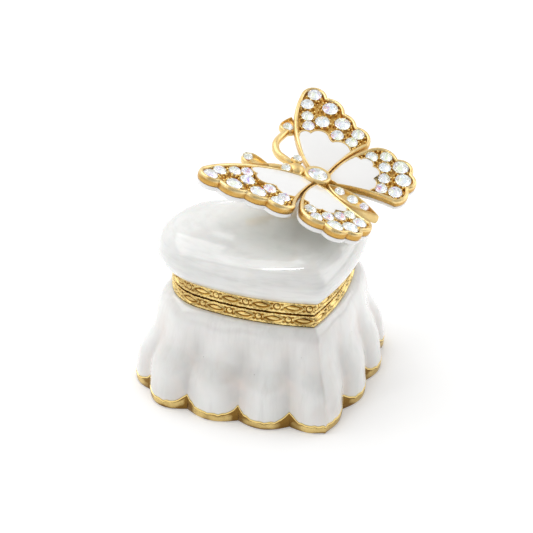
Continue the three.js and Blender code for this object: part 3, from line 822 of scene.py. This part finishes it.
def wing_under(plan, name):
    """The white enamel on the wing's underside."""
    profile = [(1.8, -3.3), (0.9, -3.28), (0.4, -3.15), (0.16, -2.85), (0.1, -2.5), (0.15, -2.05)]
    profile += [(1.8, -2.02)]
    return smooth(slab(name, outline(plan["edge"], 14), profile), 60)


def grains(plan, name, seed):
    """Small beads of metal raised round the stones to hold them."""
    rng = random.Random(seed)
    rim = drawn_in(outline(plan["edge"], 8), 1.1)
    cell = outline(plan["enamel"], 6)
    spots = []

    def free(spot, stones, stone_gap, bead_gap):
        """Whether a bead fits here: on the paving, and clear of the stones and the other beads."""
        on_paving = inside(spot, rim) and not inside(spot, cell)
        clear = all(math.dist(spot, (x, y)) >= r + stone_gap for x, y, r in stones)
        return on_paving and clear and all(math.dist(spot, bead[:2]) >= bead_gap for bead in spots)

    for sx, sy, radius in plan["stones"]:
        others = [gem for gem in plan["stones"] if gem[:2] != (sx, sy)]
        start = rng.uniform(0, 1)
        for k in range(9):
            angle = (k + start) * 2 * math.pi / 9
            reach = radius + 0.26
            spot = (sx + reach * math.cos(angle), sy + reach * math.sin(angle))
            if free(spot, others, 0.12, 0.55):
                spots.append((*spot, rng.uniform(0.26, 0.36)))
    for _ in range(900):
        spot = (rng.uniform(3, 27), rng.uniform(-19, 21))
        if free(spot, plan["stones"], 0.25, 0.62):
            spots.append((*spot, rng.uniform(0.22, 0.36)))
    deselect()
    bpy.ops.mesh.primitive_ico_sphere_add(subdivisions=2, radius=MM)
    master = bpy.context.object
    beads = []
    for x, y, radius in spots:
        bead = copy_of(master, "bead")
        bead.data.transform(shift(x, y, WING_FLOOR + 0.42) @ scale(radius, radius, radius * 1.5))
        beads.append(bead)
    bpy.data.objects.remove(master)
    return smooth(joined(beads, name), 80)


# ---- stones --------------------------------------------------------------------------------------------

STONE_HEIGHT = 1.4


def stone(name):
    """A faceted stone of radius 1: table, crown, girdle and pavilion."""
    sides = 16
    angle = turns(sides)
    half = math.pi / sides

    def ring(radius, z, twist=0.0, wobble=0.0):
        r = radius * (1 + wobble * np.cos(angle * 8))
        return level(r * np.cos(angle + twist), r * np.sin(angle + twist), z)

    rows = [
        ring(0.42, 0.0),
        ring(0.94, STONE_HEIGHT * 0.42, half),
        ring(1.0, STONE_HEIGHT * 0.5),
        ring(0.99, STONE_HEIGHT * 0.58),
        ring(0.84, STONE_HEIGHT * 0.8, half, 0.03),
        ring(0.55, STONE_HEIGHT, 0.0, 0.05),
    ]
    piece = cap(loft(name, rows, closed=False))
    edit(piece)
    bpy.ops.mesh.quads_convert_to_tris(quad_method="FIXED", ngon_method="BEAUTY")
    bpy.ops.mesh.faces_shade_flat()
    done()
    return piece


def foil(name):
    """The mirror foil under a stone: a faceted dish that follows its pavilion."""
    angle = turns(8)
    lip = STONE_HEIGHT * 0.46
    under = STONE_HEIGHT * 0.44
    profile = [(0.02, 0.02), (0.46, -0.0), (0.97, lip), (1.02, under), (0.5, -0.05), (0.02, -0.05)]
    piece = loft(name, [level(r * np.cos(angle), r * np.sin(angle), z) for r, z in profile])
    edit(piece)
    bpy.ops.mesh.faces_shade_flat()
    done()
    return piece


def carried(piece, matrix):
    """Puts a piece into a frame; a mirroring one turns its faces round, so they are turned back."""
    piece.data.transform(matrix)
    if matrix.determinant() < 0:
        piece.data.flip_normals()
    return piece


def placed(source, name, matrix, x, y, z, radius, spin=0.0, stretch=1.0):
    """A copy of a piece of unit radius, scaled in its own plane, at a place in the matrix's frame."""
    twin = copy_of(source, name)
    return carried(twin, matrix @ shift(x, y, z) @ turn(spin, "Z") @ scale(radius, radius * stretch, 1))


# ---- butterfly body ------------------------------------------------------------------------------------


def leaf_outline(length, half_width, steps, skew=0.85):
    share = np.arange(steps + 1) / steps
    right = np.stack([half_width * np.sin(np.pi * share**skew), -length * share], 1)
    left = right[1:-1][::-1] * [-1, 1]
    return np.vstack([right, left])


ABDOMEN_STONES = [(-5, 1.25), (-8.7, 1.4), (-12, 1.15)]
ABDOMEN_FLOOR = 0.3
ABDOMEN_HANGS = turn(2.5, "X")
THORAX_Y = 1.5
EYE = (2.3, 8.7, -0.1)
EYE_LEAN = 18
STONE_LIFT = 0.06


def leaf_slab(name, length, half_width, skew, profile):
    """A pointed leaf with a shaped edge, drawn in towards its middle ring by ring."""
    rows = []
    for distance, z in profile:
        ring = leaf_outline(length - 2.8 * distance, half_width - distance, 36, skew)
        rows.append(level(ring[:, 0], ring[:, 1] - 1.4 * distance, z))
    return cap(loft(name, rows, closed=False))


def abdomen():
    profile = [(0.9, -1.6), (0.45, -1.55), (0.15, -1.2), (0.0, -0.4), (0.03, 0.5), (0.15, 0.95)]
    profile += [(0.34, 1.15), (0.52, 1.15), (0.66, 0.95), (0.72, ABDOMEN_FLOOR)]
    piece = leaf_slab("abdomen", 15.2, 2.5, 0.85, profile)
    piece.data.transform(shift(0, -1.2, 0))
    return piece


def collet(name, inner, outer, low, seat, top, y=0.0, sides=48, stretch=1.0):
    """A round setting with a rolled edge, open at the top, its floor at the seat."""
    angle = turns(sides)
    profile = [
        (0.0, low),
        (outer * 0.62, low),
        (outer * 0.68, low + 0.25),
        (outer * 0.72, (low + seat) / 2),
        (outer * 0.94, seat - 0.1),
        (outer, seat + 0.35),
        (outer, top - 0.35),
        (outer * 0.96, top - 0.08),
        ((outer + inner) / 2, top),
        (inner + 0.08, top - 0.1),
        (inner, top - 0.3),
        (inner, seat),
        (0.0, seat),
    ]
    rows = [level(r * np.cos(angle), y + r * np.sin(angle) * stretch, z) for r, z in profile]
    return loft(name, rows, closed=False)


def thorax():
    return collet("thorax", 2.3, 3.15, -1.6, 1.2, 2.2, y=THORAX_Y, stretch=1.04)


def spine():
    """The ridge of metal that joins the abdomen, the thorax and the head below the wings."""
    deselect()
    bpy.ops.mesh.primitive_uv_sphere_add(segments=32, ring_count=16, radius=MM)
    piece = bpy.context.object
    piece.data.transform(shift(0, 0.6, -0.7) @ scale(1.9, 5.6, 1.0))
    return piece


def head():
    deselect()
    bpy.ops.mesh.primitive_uv_sphere_add(segments=40, ring_count=20, radius=MM)
    skull = bpy.context.object
    skull.data.transform(shift(0, 7.1, -0.1) @ scale(2.1, 2.3, 1.5))
    parts = [skull]
    for side in (-1, 1):
        eye = collet("eye", 1.15, 1.45, -1.7, 0.55, 1.0, sides=32)
        eye.data.transform(shift(side * EYE[0], *EYE[1:]) @ turn(side * EYE_LEAN, "Y"))
        parts.append(eye)
    bpy.ops.mesh.primitive_torus_add(
        major_segments=40, minor_segments=12, major_radius=1.45 * MM, minor_radius=0.4 * MM
    )
    neck = bpy.context.object
    neck.data.transform(shift(0, 5.2, -0.2) @ turn(90, "X") @ scale(1.05, 0.75, 1))
    parts.append(neck)
    return smooth(joined(parts, "butterfly_head_cast"), 50)


# The feelers: the course of each stem, and where its leaf starts, which way it points and where its stone is.
FEELERS = {
    "right": dict(
        course=[(1.4, 9.4, -0.4), (1.4, 10.9, -0.1), (1.7, 13.2, 0), (3, 15, 0.2), (5.6, 16.3, 0.4)]
        + [(10.6, 16.7, 0.5)],
        leaf=(10, 16.4),
        turn=112,
        stone=(11.6, 17.2),
    ),
    "left": dict(
        course=[(1.4, 9.4, -0.6), (2.6, 11.3, -0.6), (4.4, 12.9, -0.5), (5.8, 14.4, -0.4), (6.8, 16.4, -0.2)],
        leaf=(7.3, 18.6),
        turn=-17.5,
        stone=(6.9, 17.2),
    ),
}
LEAF_Z = 0.6


def feeler(name, plan):
    """A feeler: a stem of upright oval section, and a pointed setting on its end."""
    course = curve_through(plan["course"], 8)
    rows = []
    angle = turns(20)
    for i, point in enumerate(course):
        tangent = course[min(i + 1, len(course) - 1)] - course[max(i - 1, 0)]
        tangent /= np.linalg.norm(tangent)
        across = np.cross(tangent, (0, 0, 1))
        across /= np.linalg.norm(across)
        up = np.cross(across, tangent)
        rows.append(point + 0.9 * np.cos(angle)[:, None] * across + 1.05 * np.sin(angle)[:, None] * up)
    stem = cap(loft("stem", rows, closed=False))
    profile = [(0.8, -1.1), (0.3, -1.0), (0.05, -0.6), (0.0, 0.1), (0.06, 0.5)]
    profile += [(0.2, 0.74), (0.38, 0.76), (0.5, 0.6), (0.56, 0.1)]
    tip = leaf_slab("tip", 7, 2.2, 0.6, profile)
    tip.data.transform(shift(*plan["leaf"], LEAF_Z) @ turn(plan["turn"], "Z"))
    return smooth(joined([stem, tip], name), 50)


def post():
    deselect()
    parts = []
    for radius, low, high in [(1.2, -8.1, -4), (2.4, -4.35, -1.95), (1.7, -8.1, -7.5)]:
        middle = Vector((0, 1.4, (low + high) / 2)) * MM
        bpy.ops.mesh.primitive_cylinder_add(
            vertices=48, radius=radius * MM, depth=(high - low) * MM, location=middle
        )
        parts.append(settle(rounded(bpy.context.object, 0.18, 3)))
    return smooth(joined(parts, "butterfly_post_turned"), 40)


# ---- materials -----------------------------------------------------------------------------------------


class Finish:
    """A material's node tree, with short calls for the nodes that the finishes here share."""

    def __init__(self, name):
        self.material = bpy.data.materials.new(name)
        self.material.use_nodes = True
        self.tree = self.material.node_tree
        self.shader = self.tree.nodes["Principled BSDF"]
        self.coords = self.node("ShaderNodeTexCoord").outputs["Object"]

    def node(self, kind, **settings):
        made = self.tree.nodes.new(kind)
        for key, value in settings.items():
            setattr(made, key, value)
        return made

    def link(self, source, target):
        self.tree.links.new(source, target)

    def stretched(self, scale):
        mapping = self.node("ShaderNodeMapping")
        self.link(self.coords, mapping.inputs["Vector"])
        mapping.inputs["Scale"].default_value = scale
        return mapping.outputs["Vector"]

    def noise(self, scale, detail=3.0, vector=None, roughness=0.5):
        made = self.node("ShaderNodeTexNoise")
        self.link(vector or self.coords, made.inputs["Vector"])
        made.inputs["Scale"].default_value = scale
        made.inputs["Detail"].default_value = detail
        made.inputs["Roughness"].default_value = roughness
        return made.outputs["Fac"]

    def span(self, value, low, high, to_low=0.0, to_high=1.0):
        made = self.node("ShaderNodeMapRange", interpolation_type="SMOOTHSTEP")
        self.link(value, made.inputs["Value"])
        for key, number in zip(("From Min", "From Max", "To Min", "To Max"), (low, high, to_low, to_high)):
            made.inputs[key].default_value = number
        return made.outputs["Result"]

    def math(self, operation, a, b):
        made = self.node("ShaderNodeMath", operation=operation)
        for socket, value in zip(made.inputs, (a, b)):
            if isinstance(value, (int, float)):
                socket.default_value = value
            else:
                self.link(value, socket)
        return made.outputs["Value"]

    def near(self, place, inner, outer, amount):
        """The amount within the inner radius of a place, falling to nothing at the outer one."""
        made = self.node("ShaderNodeVectorMath", operation="DISTANCE")
        self.link(self.coords, made.inputs[0])
        made.inputs[1].default_value = place
        return self.span(made.outputs["Value"], inner, outer, amount, 0)

    def attribute(self, name):
        return self.node("ShaderNodeAttribute", attribute_name=name).outputs["Fac"]

    def mix(self, factor, a, b):
        made = self.node("ShaderNodeMix", data_type="RGBA")
        for socket, value in zip((made.inputs[0], made.inputs[6], made.inputs[7]), (factor, a, b)):
            if isinstance(value, (int, float)):
                socket.default_value = value
            elif isinstance(value, tuple):
                socket.default_value = (*value, 1)
            else:
                self.link(value, socket)
        return made.outputs[2]

    def bump(self, height, strength, distance, normal=None):
        made = self.node("ShaderNodeBump")
        self.link(height, made.inputs["Height"])
        made.inputs["Strength"].default_value = strength
        made.inputs["Distance"].default_value = distance
        if normal:
            self.link(normal, made.inputs["Normal"])
        return made.outputs["Normal"]

    def set(self, **values):
        for key, value in values.items():
            socket = self.shader.inputs[key.replace("_", " ")]
            if isinstance(value, (int, float)):
                socket.default_value = value
            elif isinstance(value, tuple):
                socket.default_value = (*value, 1) if len(socket.default_value) == 4 else value
            else:
                self.link(value, socket)


WHITE = (0.86, 0.855, 0.835)
COOL_GREY = (0.57, 0.575, 0.56)
WARM_GREY = (0.60, 0.585, 0.565)
# the darker colour of the painted shade in the skirt's grooves
PAINTED_VALLEY_SHADE = (0.53, 0.515, 0.495)
WARM_PINK = (0.72, 0.62, 0.56)
# the dull green of the painted shadow under the butterfly's wings on the lid
PAINTED_SHADOW_GREEN = (0.56, 0.575, 0.49)


def enamel(name, shade, stretch, fineness, groove, clouding=1.0):
    """Gloss white enamel laid on by brush: streaks, faint clouds, specks and pinholes, with painted shade in
    the skirt's grooves and a painted shadow under the butterfly's wings.
    """
    finish = Finish(name)
    streak_coords = finish.stretched(stretch)
    cloud = finish.span(finish.noise(75, 3), 0.42, 0.72, 0, 0.42 * clouding)
    colour = finish.mix(cloud, WHITE, shade)
    streak = finish.span(finish.noise(fineness, 4, streak_coords, 0.6), 0.42, 0.75, 0, 0.3)
    colour = finish.mix(streak, colour, shade)
    warm = finish.span(finish.noise(110, 2), 0.5, 0.75, 0, 0.28 * clouding)
    if groove:
        valley = finish.attribute("groove")
        soft = finish.noise(140, 3)
        pink = finish.math("MULTIPLY", valley, finish.span(soft, 0.35, 0.65, 0.05, 0.7))
        warm = finish.math("ADD", warm, pink)
        # painted shade: the grooves between the flutes are painted darker, most towards the hem; they are
        # also given a pinker tint
        valley_shade = finish.math("MULTIPLY", valley, finish.span(soft, 0.35, 0.65, 0.75, 0.2))
        colour = finish.mix(valley_shade, colour, PAINTED_VALLEY_SHADE)
    colour = finish.mix(warm, colour, WARM_PINK)
    if not groove:
        # painted shadow: the lid's top turns a darker green round the butterfly's seat, where its wings shade
        # it
        painted_wing_shadow = finish.near((0.002, -0.009, 0.044), 0.006, 0.021, 0.4)
        colour = finish.mix(painted_wing_shadow, colour, PAINTED_SHADOW_GREEN)
    cells = finish.node("ShaderNodeTexVoronoi", feature="F1")
    finish.link(finish.coords, cells.inputs["Vector"])
    cells.inputs["Scale"].default_value = 330
    speck = finish.span(cells.outputs["Distance"], 0.02, 0.045, 0.8, 0)
    chosen = finish.span(cells.outputs["Color"], 0.6, 0.62)
    speck = finish.math("MULTIPLY", speck, chosen)
    colour = finish.mix(speck, colour, (0.2, 0.17, 0.14))
    height = finish.noise(fineness * 0.8, 3, streak_coords, 0.55)
    normal = finish.bump(height, 0.35, 0.0001)
    normal = finish.bump(finish.noise(170, 2), 0.3, 0.0003, normal)
    normal = finish.bump(speck, -0.6, 0.0001, normal)
    finish.set(Base_Color=colour, Roughness=0.2, Normal=normal)
    finish.set(Coat_Weight=1.0, Coat_Roughness=0.025, Coat_IOR=1.6)
    finish.set(Subsurface_Weight=0.08, Subsurface_Scale=0.001)
    return finish.material


def wing_white():
    finish = Finish("wing enamel")
    cloud = finish.span(finish.noise(160, 3), 0.4, 0.75, 0, 0.25)
    colour = finish.mix(cloud, (0.95, 0.945, 0.935), (0.85, 0.85, 0.84))
    normal = finish.bump(finish.noise(330, 2), 0.3, 0.00015)
    finish.set(Base_Color=colour, Roughness=0.22, Coat_Weight=1.0, Coat_Roughness=0.06, Normal=normal)
    return finish.material


def gilt(name, light, dark, roughness, grain, recess=None, shine=None, bump=0.25):
    """Gilded metal: a warm dark tone in dull patches, and as painted shade where the recess attribute is low;
    a light one where it is high.
    """
    finish = Finish(name)
    cloud = finish.noise(240, 4)
    tone = finish.span(cloud, 0.35, 0.7, 0, 0.45)
    if recess:
        # painted shade: low values of the recess attribute pull the metal to its dark tone, as shade in
        # hollows and low places
        painted_recess_shade = finish.span(finish.attribute(recess), 0.05, 0.55, 0.9, 0)
        tone = finish.math("ADD", tone, painted_recess_shade)
    colour = finish.mix(tone, light, dark)
    rough = finish.span(finish.noise(grain, 4), 0.3, 0.7, roughness * 0.75, roughness * 1.3)
    if shine:
        # painted highlight: the bead at the enamel's edge is given a lighter gold, besides its real lower
        # roughness
        bright = finish.attribute(shine)
        colour = finish.mix(bright, colour, (0.96, 0.74, 0.29))
        rough = finish.math("SUBTRACT", rough, finish.math("MULTIPLY", bright, roughness * 0.5))
    normal = finish.bump(finish.noise(grain * 1.6, 3), bump, 0.00008)
    normal = finish.bump(finish.noise(300, 2), bump * 0.7, 0.00015, normal)
    finish.set(Base_Color=colour, Metallic=1.0, Roughness=rough, Normal=normal)
    return finish.material


def nickel_plate():
    finish = Finish("nickel plate")
    rough = finish.span(finish.noise(700), 0.3, 0.7, 0.2, 0.34)
    finish.set(Base_Color=(0.72, 0.72, 0.71), Metallic=1.0, Roughness=rough)
    return finish.material


def crystal_glass():
    finish = Finish("crystal")
    finish.set(Base_Color=(0.98, 0.99, 1.0), Roughness=0.0, IOR=1.56, Transmission_Weight=1.0)
    return finish.material


def mirror_foil():
    """The coated foil behind the stones, which throws back faint greens, blues and pinks, with painted glints
    of violet and red, and a faint painted glow.
    """
    finish = Finish("mirror foil")
    tints_and_glints = finish.node("ShaderNodeValToRGB")
    # the pale stops are the coating's colour; the rare saturated violet and red stops are painted glints
    stops = [
        (0.0, (1.0, 1.0, 0.97)),
        (0.34, (1.0, 1.0, 0.95)),
        (0.405, (0.88, 0.98, 0.70)),
        (0.45, (1.0, 1.0, 0.96)),
        (0.52, (0.97, 0.98, 1.0)),
        (0.56, (0.76, 0.90, 1.0)),
        (0.60, (1.0, 0.99, 0.98)),
        (0.645, (1.0, 0.98, 1.0)),
        (0.665, (0.46, 0.30, 0.98)),
        (0.685, (1.0, 0.92, 0.90)),
        (0.71, (0.98, 0.20, 0.22)),
        (0.75, (1.0, 0.85, 0.6)),
    ]
    ramp = tints_and_glints.color_ramp
    while len(ramp.elements) < len(stops):
        ramp.elements.new(0.5)
    for element, (place, tint) in zip(ramp.elements, stops):
        element.position = place
        element.color = (*tint, 1)
    finish.link(finish.noise(620, 1.5), tints_and_glints.inputs["Fac"])
    finish.set(Base_Color=tints_and_glints.outputs["Color"], Metallic=0.75, Roughness=0.1)
    # painted light: the foil glows faintly in its own colours, though it is no lamp
    finish.set(Emission_Color=tints_and_glints.outputs["Color"], Emission_Strength=0.22)
    return finish.material


# ---- stage ---------------------------------------------------------------------------------------------


def studio():
    deselect()
    bpy.ops.mesh.primitive_plane_add(size=6)
    floor = bpy.context.object
    floor.name = "floor"
    paper = Finish("white paper")
    paper.set(Base_Color=(0.9, 0.9, 0.9), Roughness=0.7, Emission_Color=(1, 1, 1), Emission_Strength=0.2)
    floor.data.materials.append(paper.material)
    world = bpy.data.worlds.new("studio")
    bpy.context.scene.world = world
    world.use_nodes = True
    tree = world.node_tree
    background = tree.nodes["Background"]
    coords = tree.nodes.new("ShaderNodeTexCoord")
    split = tree.nodes.new("ShaderNodeSeparateXYZ")
    tree.links.new(coords.outputs["Generated"], split.inputs["Vector"])
    ramp = tree.nodes.new("ShaderNodeValToRGB")
    ramp.color_ramp.elements[0].position = 0.0
    ramp.color_ramp.elements[0].color = (0.4, 0.4, 0.4, 1)
    ramp.color_ramp.elements[1].position = 1.0
    ramp.color_ramp.elements[1].color = (1.0, 1.0, 1.0, 1)
    depth = tree.nodes.new("ShaderNodeMapRange")
    tree.links.new(split.outputs["Y"], depth.inputs["Value"])
    depth.inputs["From Min"].default_value = -1
    tree.links.new(depth.outputs["Result"], ramp.inputs["Fac"])
    tree.links.new(ramp.outputs["Color"], background.inputs["Color"])
    background.inputs["Strength"].default_value = 0.95
    plain = tree.nodes.new("ShaderNodeBackground")
    rays = tree.nodes.new("ShaderNodeLightPath")
    either = tree.nodes.new("ShaderNodeMixShader")
    tree.links.new(rays.outputs["Is Camera Ray"], either.inputs["Fac"])
    tree.links.new(background.outputs[0], either.inputs[1])
    tree.links.new(plain.outputs[0], either.inputs[2])
    tree.links.new(either.outputs[0], tree.nodes["World Output"].inputs["Surface"])
    plain.inputs["Color"].default_value = (1, 1, 1, 1)

    def softbox(name, place, size_x, size_y, power):
        lamp = bpy.data.lights.new(name, "AREA")
        lamp.shape = "RECTANGLE"
        lamp.size = size_x
        lamp.size_y = size_y
        lamp.energy = power
        lamp_object = bpy.data.objects.new(name, lamp)
        bpy.context.collection.objects.link(lamp_object)
        lamp_object.location = place
        aim = Vector((0, 0, 0.03)) - Vector(place)
        lamp_object.rotation_euler = aim.to_track_quat("-Z", "Y").to_euler()

    softbox("overhead", (-0.25, 0.3, 0.7), 0.75, 0.7, 2.05)
    softbox("key", (0.85, -0.15, 0.5), 0.85, 0.8, 2.2)
    softbox("fill", (-0.7, -0.2, 0.45), 0.4, 0.5, 0.4)
    softbox("strip", (-0.165, -0.04, 0.79), 0.016, 0.28, 0.3)


def camera():
    azimuth = math.radians(-25.2)
    elevation = math.radians(31.0)
    target = Vector((0, 0, 22)) * MM
    back = Vector(
        (
            math.sin(azimuth) * math.cos(elevation),
            -math.cos(azimuth) * math.cos(elevation),
            math.sin(elevation),
        )
    )
    lens = bpy.data.cameras.new("camera")
    lens.sensor_width = 36
    lens.lens = 124.6
    lens.shift_x = 0.0036
    lens.shift_y = 0.0394
    lens.clip_start = 0.01
    seat = bpy.data.objects.new("camera", lens)
    bpy.context.collection.objects.link(seat)
    seat.location = target + back * 0.45
    seat.rotation_euler = back.to_track_quat("Z", "Y").to_euler()
    bpy.context.scene.camera = seat
    bpy.context.scene.view_settings.view_transform = "Standard"


# ---- assembly ------------------------------------------------------------------------------------------


def build_base(finishes):
    finish_piece(skirt_enamel(), "base", finishes["skirt"], "enamel", ["base_shell"])
    finish_piece(foot_casting(), "base", finishes["foot"], "foot_gilt")
    finish_piece(floor_plate(), "base", finishes["foot"], "foot_gilt", ["base_plate"])
    finish_piece(lower_band(), "base", finishes["stamped"], "stamped_gilt", ["base_bezel"])
    finish_piece(
        leaf("base_leaf", SEAM_Z - BAND_H, SEAM_Z - 0.2, END_KNUCKLES, CENTRE_KNUCKLE),
        "base", finishes["plain"], "stamped_gilt", ["hinge_leaf_base"],
    )
    finish_piece(hinge_pin(), "base", finishes["plain"], "stamped_gilt", ["hinge_pin"])
    base_magnet = magnet("base_magnet_plated", "base_magnet")
    finish_piece(base_magnet, "base", finishes["nickel"], "nickel", ["base_magnet"])


def build_lid(finishes):
    finish_piece(lid_enamel(), "lid", finishes["cushion"], "enamel", ["lid_shell"])
    finish_piece(lid_lining(), "lid", finishes["foot"], "foot_gilt")
    finish_piece(upper_band(), "lid", finishes["stamped"], "stamped_gilt", ["lid_bezel"])
    finish_piece(
        leaf("lid_leaf", SEAM_Z + 0.2, SEAM_Z + BAND_H, CENTRE_KNUCKLE, END_KNUCKLES),
        "lid", finishes["plain"], "stamped_gilt", ["hinge_leaf_lid"],
    )
    lid_magnet = magnet("lid_magnet_plated", "lid_magnet")
    finish_piece(lid_magnet, "lid", finishes["nickel"], "nickel", ["lid_magnet"])


def build_wings(finishes, gem, backing):
    foils = []
    for wing_name, plan, seed in (("forewing", FOREWING, 5), ("hindwing", HINDWING, 11)):
        masters = {
            "cast": (wing_frame(plan, "cast"), "rim", "satin_gilt"),
            "wire": (wing_wire(plan, "wire"), "satin", "satin_gilt"),
            "enamel": (wing_enamel(plan, "enamel"), "wing", "enamel"),
            "under": (wing_under(plan, "under"), "wing", "enamel"),
            "grains": (grains(plan, "grains", seed), "bright", "satin_gilt"),
        }
        for side, (wing_matrix, _) in SIDES.items():
            if (wing_name, side) == ("forewing", "left"):
                wing_matrix = wing_matrix @ scale(LEFT_FOREWING_STRETCH, 1, 1)
            for part, (master, finish, slot) in masters.items():
                piece = carried(copy_of(master, f"{wing_name}_{side}_{part}"), wing_matrix)
                nodes = [f"{wing_name}_{side}"] if part == "cast" else []
                finish_piece(piece, "lid", finishes[finish], slot, nodes)
            for i, (x, y, radius) in enumerate(plan["stones"], 1):
                node = f"crystal_{wing_name}_{side}_{i:02d}"
                spin = 37 * i + seed * 3
                spot = (wing_matrix, x, y, WING_FLOOR + STONE_LIFT, radius, spin)
                piece = placed(gem, f"{node}_cut", *spot)
                finish_piece(piece, "lid", finishes["crystal"], "crystal", [node])
                foils.append(placed(backing, "foil", *spot))
        for master, _, _ in masters.values():
            bpy.data.objects.remove(master)
    return foils


def build_body(finishes, gem, backing):
    foils = []
    body = smooth(joined([settle(abdomen(), ABDOMEN_HANGS), thorax(), spine()], "butterfly_body_cast"), 50)
    for piece, node in ((body, "butterfly_body"), (head(), "butterfly_head"), (post(), "butterfly_post")):
        finish_piece(settle(piece, BUTTERFLY), "lid", finishes["satin"], "satin_gilt", [node])
    stones = [("crystal_thorax", (BUTTERFLY, 0, THORAX_Y, 1.2 + STONE_LIFT, 2.28, 11, 1.04))]
    for i, (y, radius) in enumerate(ABDOMEN_STONES, 1):
        spot = (BUTTERFLY @ ABDOMEN_HANGS, 0, y, ABDOMEN_FLOOR + STONE_LIFT, radius, 11)
        stones.append((f"crystal_abdomen_{i}", spot))
    for node, spot in stones:
        finish_piece(placed(gem, f"{node}_cut", *spot), "lid", finishes["crystal"], "crystal", [node])
        foils.append(placed(backing, "foil", *spot))
    for side, (_, matrix) in SIDES.items():
        plan = FEELERS[side]
        piece = carried(feeler(f"antenna_{side}_cast", plan), matrix)
        finish_piece(piece, "lid", finishes["satin"], "satin_gilt", [f"antenna_{side}"])
        eye = matrix @ shift(*EYE) @ turn(EYE_LEAN, "Y")
        for label, spot in (
            ("feeler", (matrix, *plan["stone"], LEAF_Z + 0.15, 1.25, 9)),
            ("eye", (eye, 0, 0, 0.58, 1.14, 9)),
        ):
            finish_piece(placed(gem, f"crystal_{label}_{side}", *spot), "lid", finishes["crystal"], "crystal")
            foils.append(placed(backing, "foil", *spot))
    return foils


def build():
    finishes = {
        "skirt": enamel("skirt enamel", WARM_GREY, (1, 1, 0.12), 560, True),
        "cushion": enamel("cushion enamel", COOL_GREY, (0.13, 0.13, 1.0), 1300, False, 0.8),
        "wing": wing_white(),
        "stamped": gilt(
            "stamped gilt", (0.95, 0.73, 0.30), (0.30, 0.14, 0.02), 0.2, 900, recess="relief", bump=0.1
        ),
        "plain": gilt("plain gilt", (0.92, 0.70, 0.30), (0.6, 0.38, 0.1), 0.25, 700),
        "foot": gilt(
            "foot gilt", (0.74, 0.55, 0.22), (0.24, 0.13, 0.03), 0.24, 600, "wear_and_shade", "edge_shine", 0.5
        ),
        "satin": gilt("satin gilt", (0.94, 0.72, 0.34), (0.72, 0.46, 0.15), 0.36, 1500, bump=0.3),
        # the wing rims get painted shade low on their sides, from each ring's height
        "rim": gilt("rim gilt", (0.97, 0.76, 0.38), (0.62, 0.36, 0.09), 0.31, 1500, recess="slab_height", bump=0.25),
        "bright": gilt("bright gilt", (0.99, 0.75, 0.29), (0.68, 0.39, 0.07), 0.22, 1500),
        "nickel": nickel_plate(),
        "crystal": crystal_glass(),
        "foil": mirror_foil(),
    }
    build_base(finishes)
    build_lid(finishes)
    gem = stone("gem")
    backing = foil("backing")
    foils = build_wings(finishes, gem, backing) + build_body(finishes, gem, backing)
    for master in (gem, backing):
        bpy.data.objects.remove(master)
    finish_piece(joined(foils, "stone_foils"), "lid", finishes["foil"], "crystal")
    studio()


camera()
build()
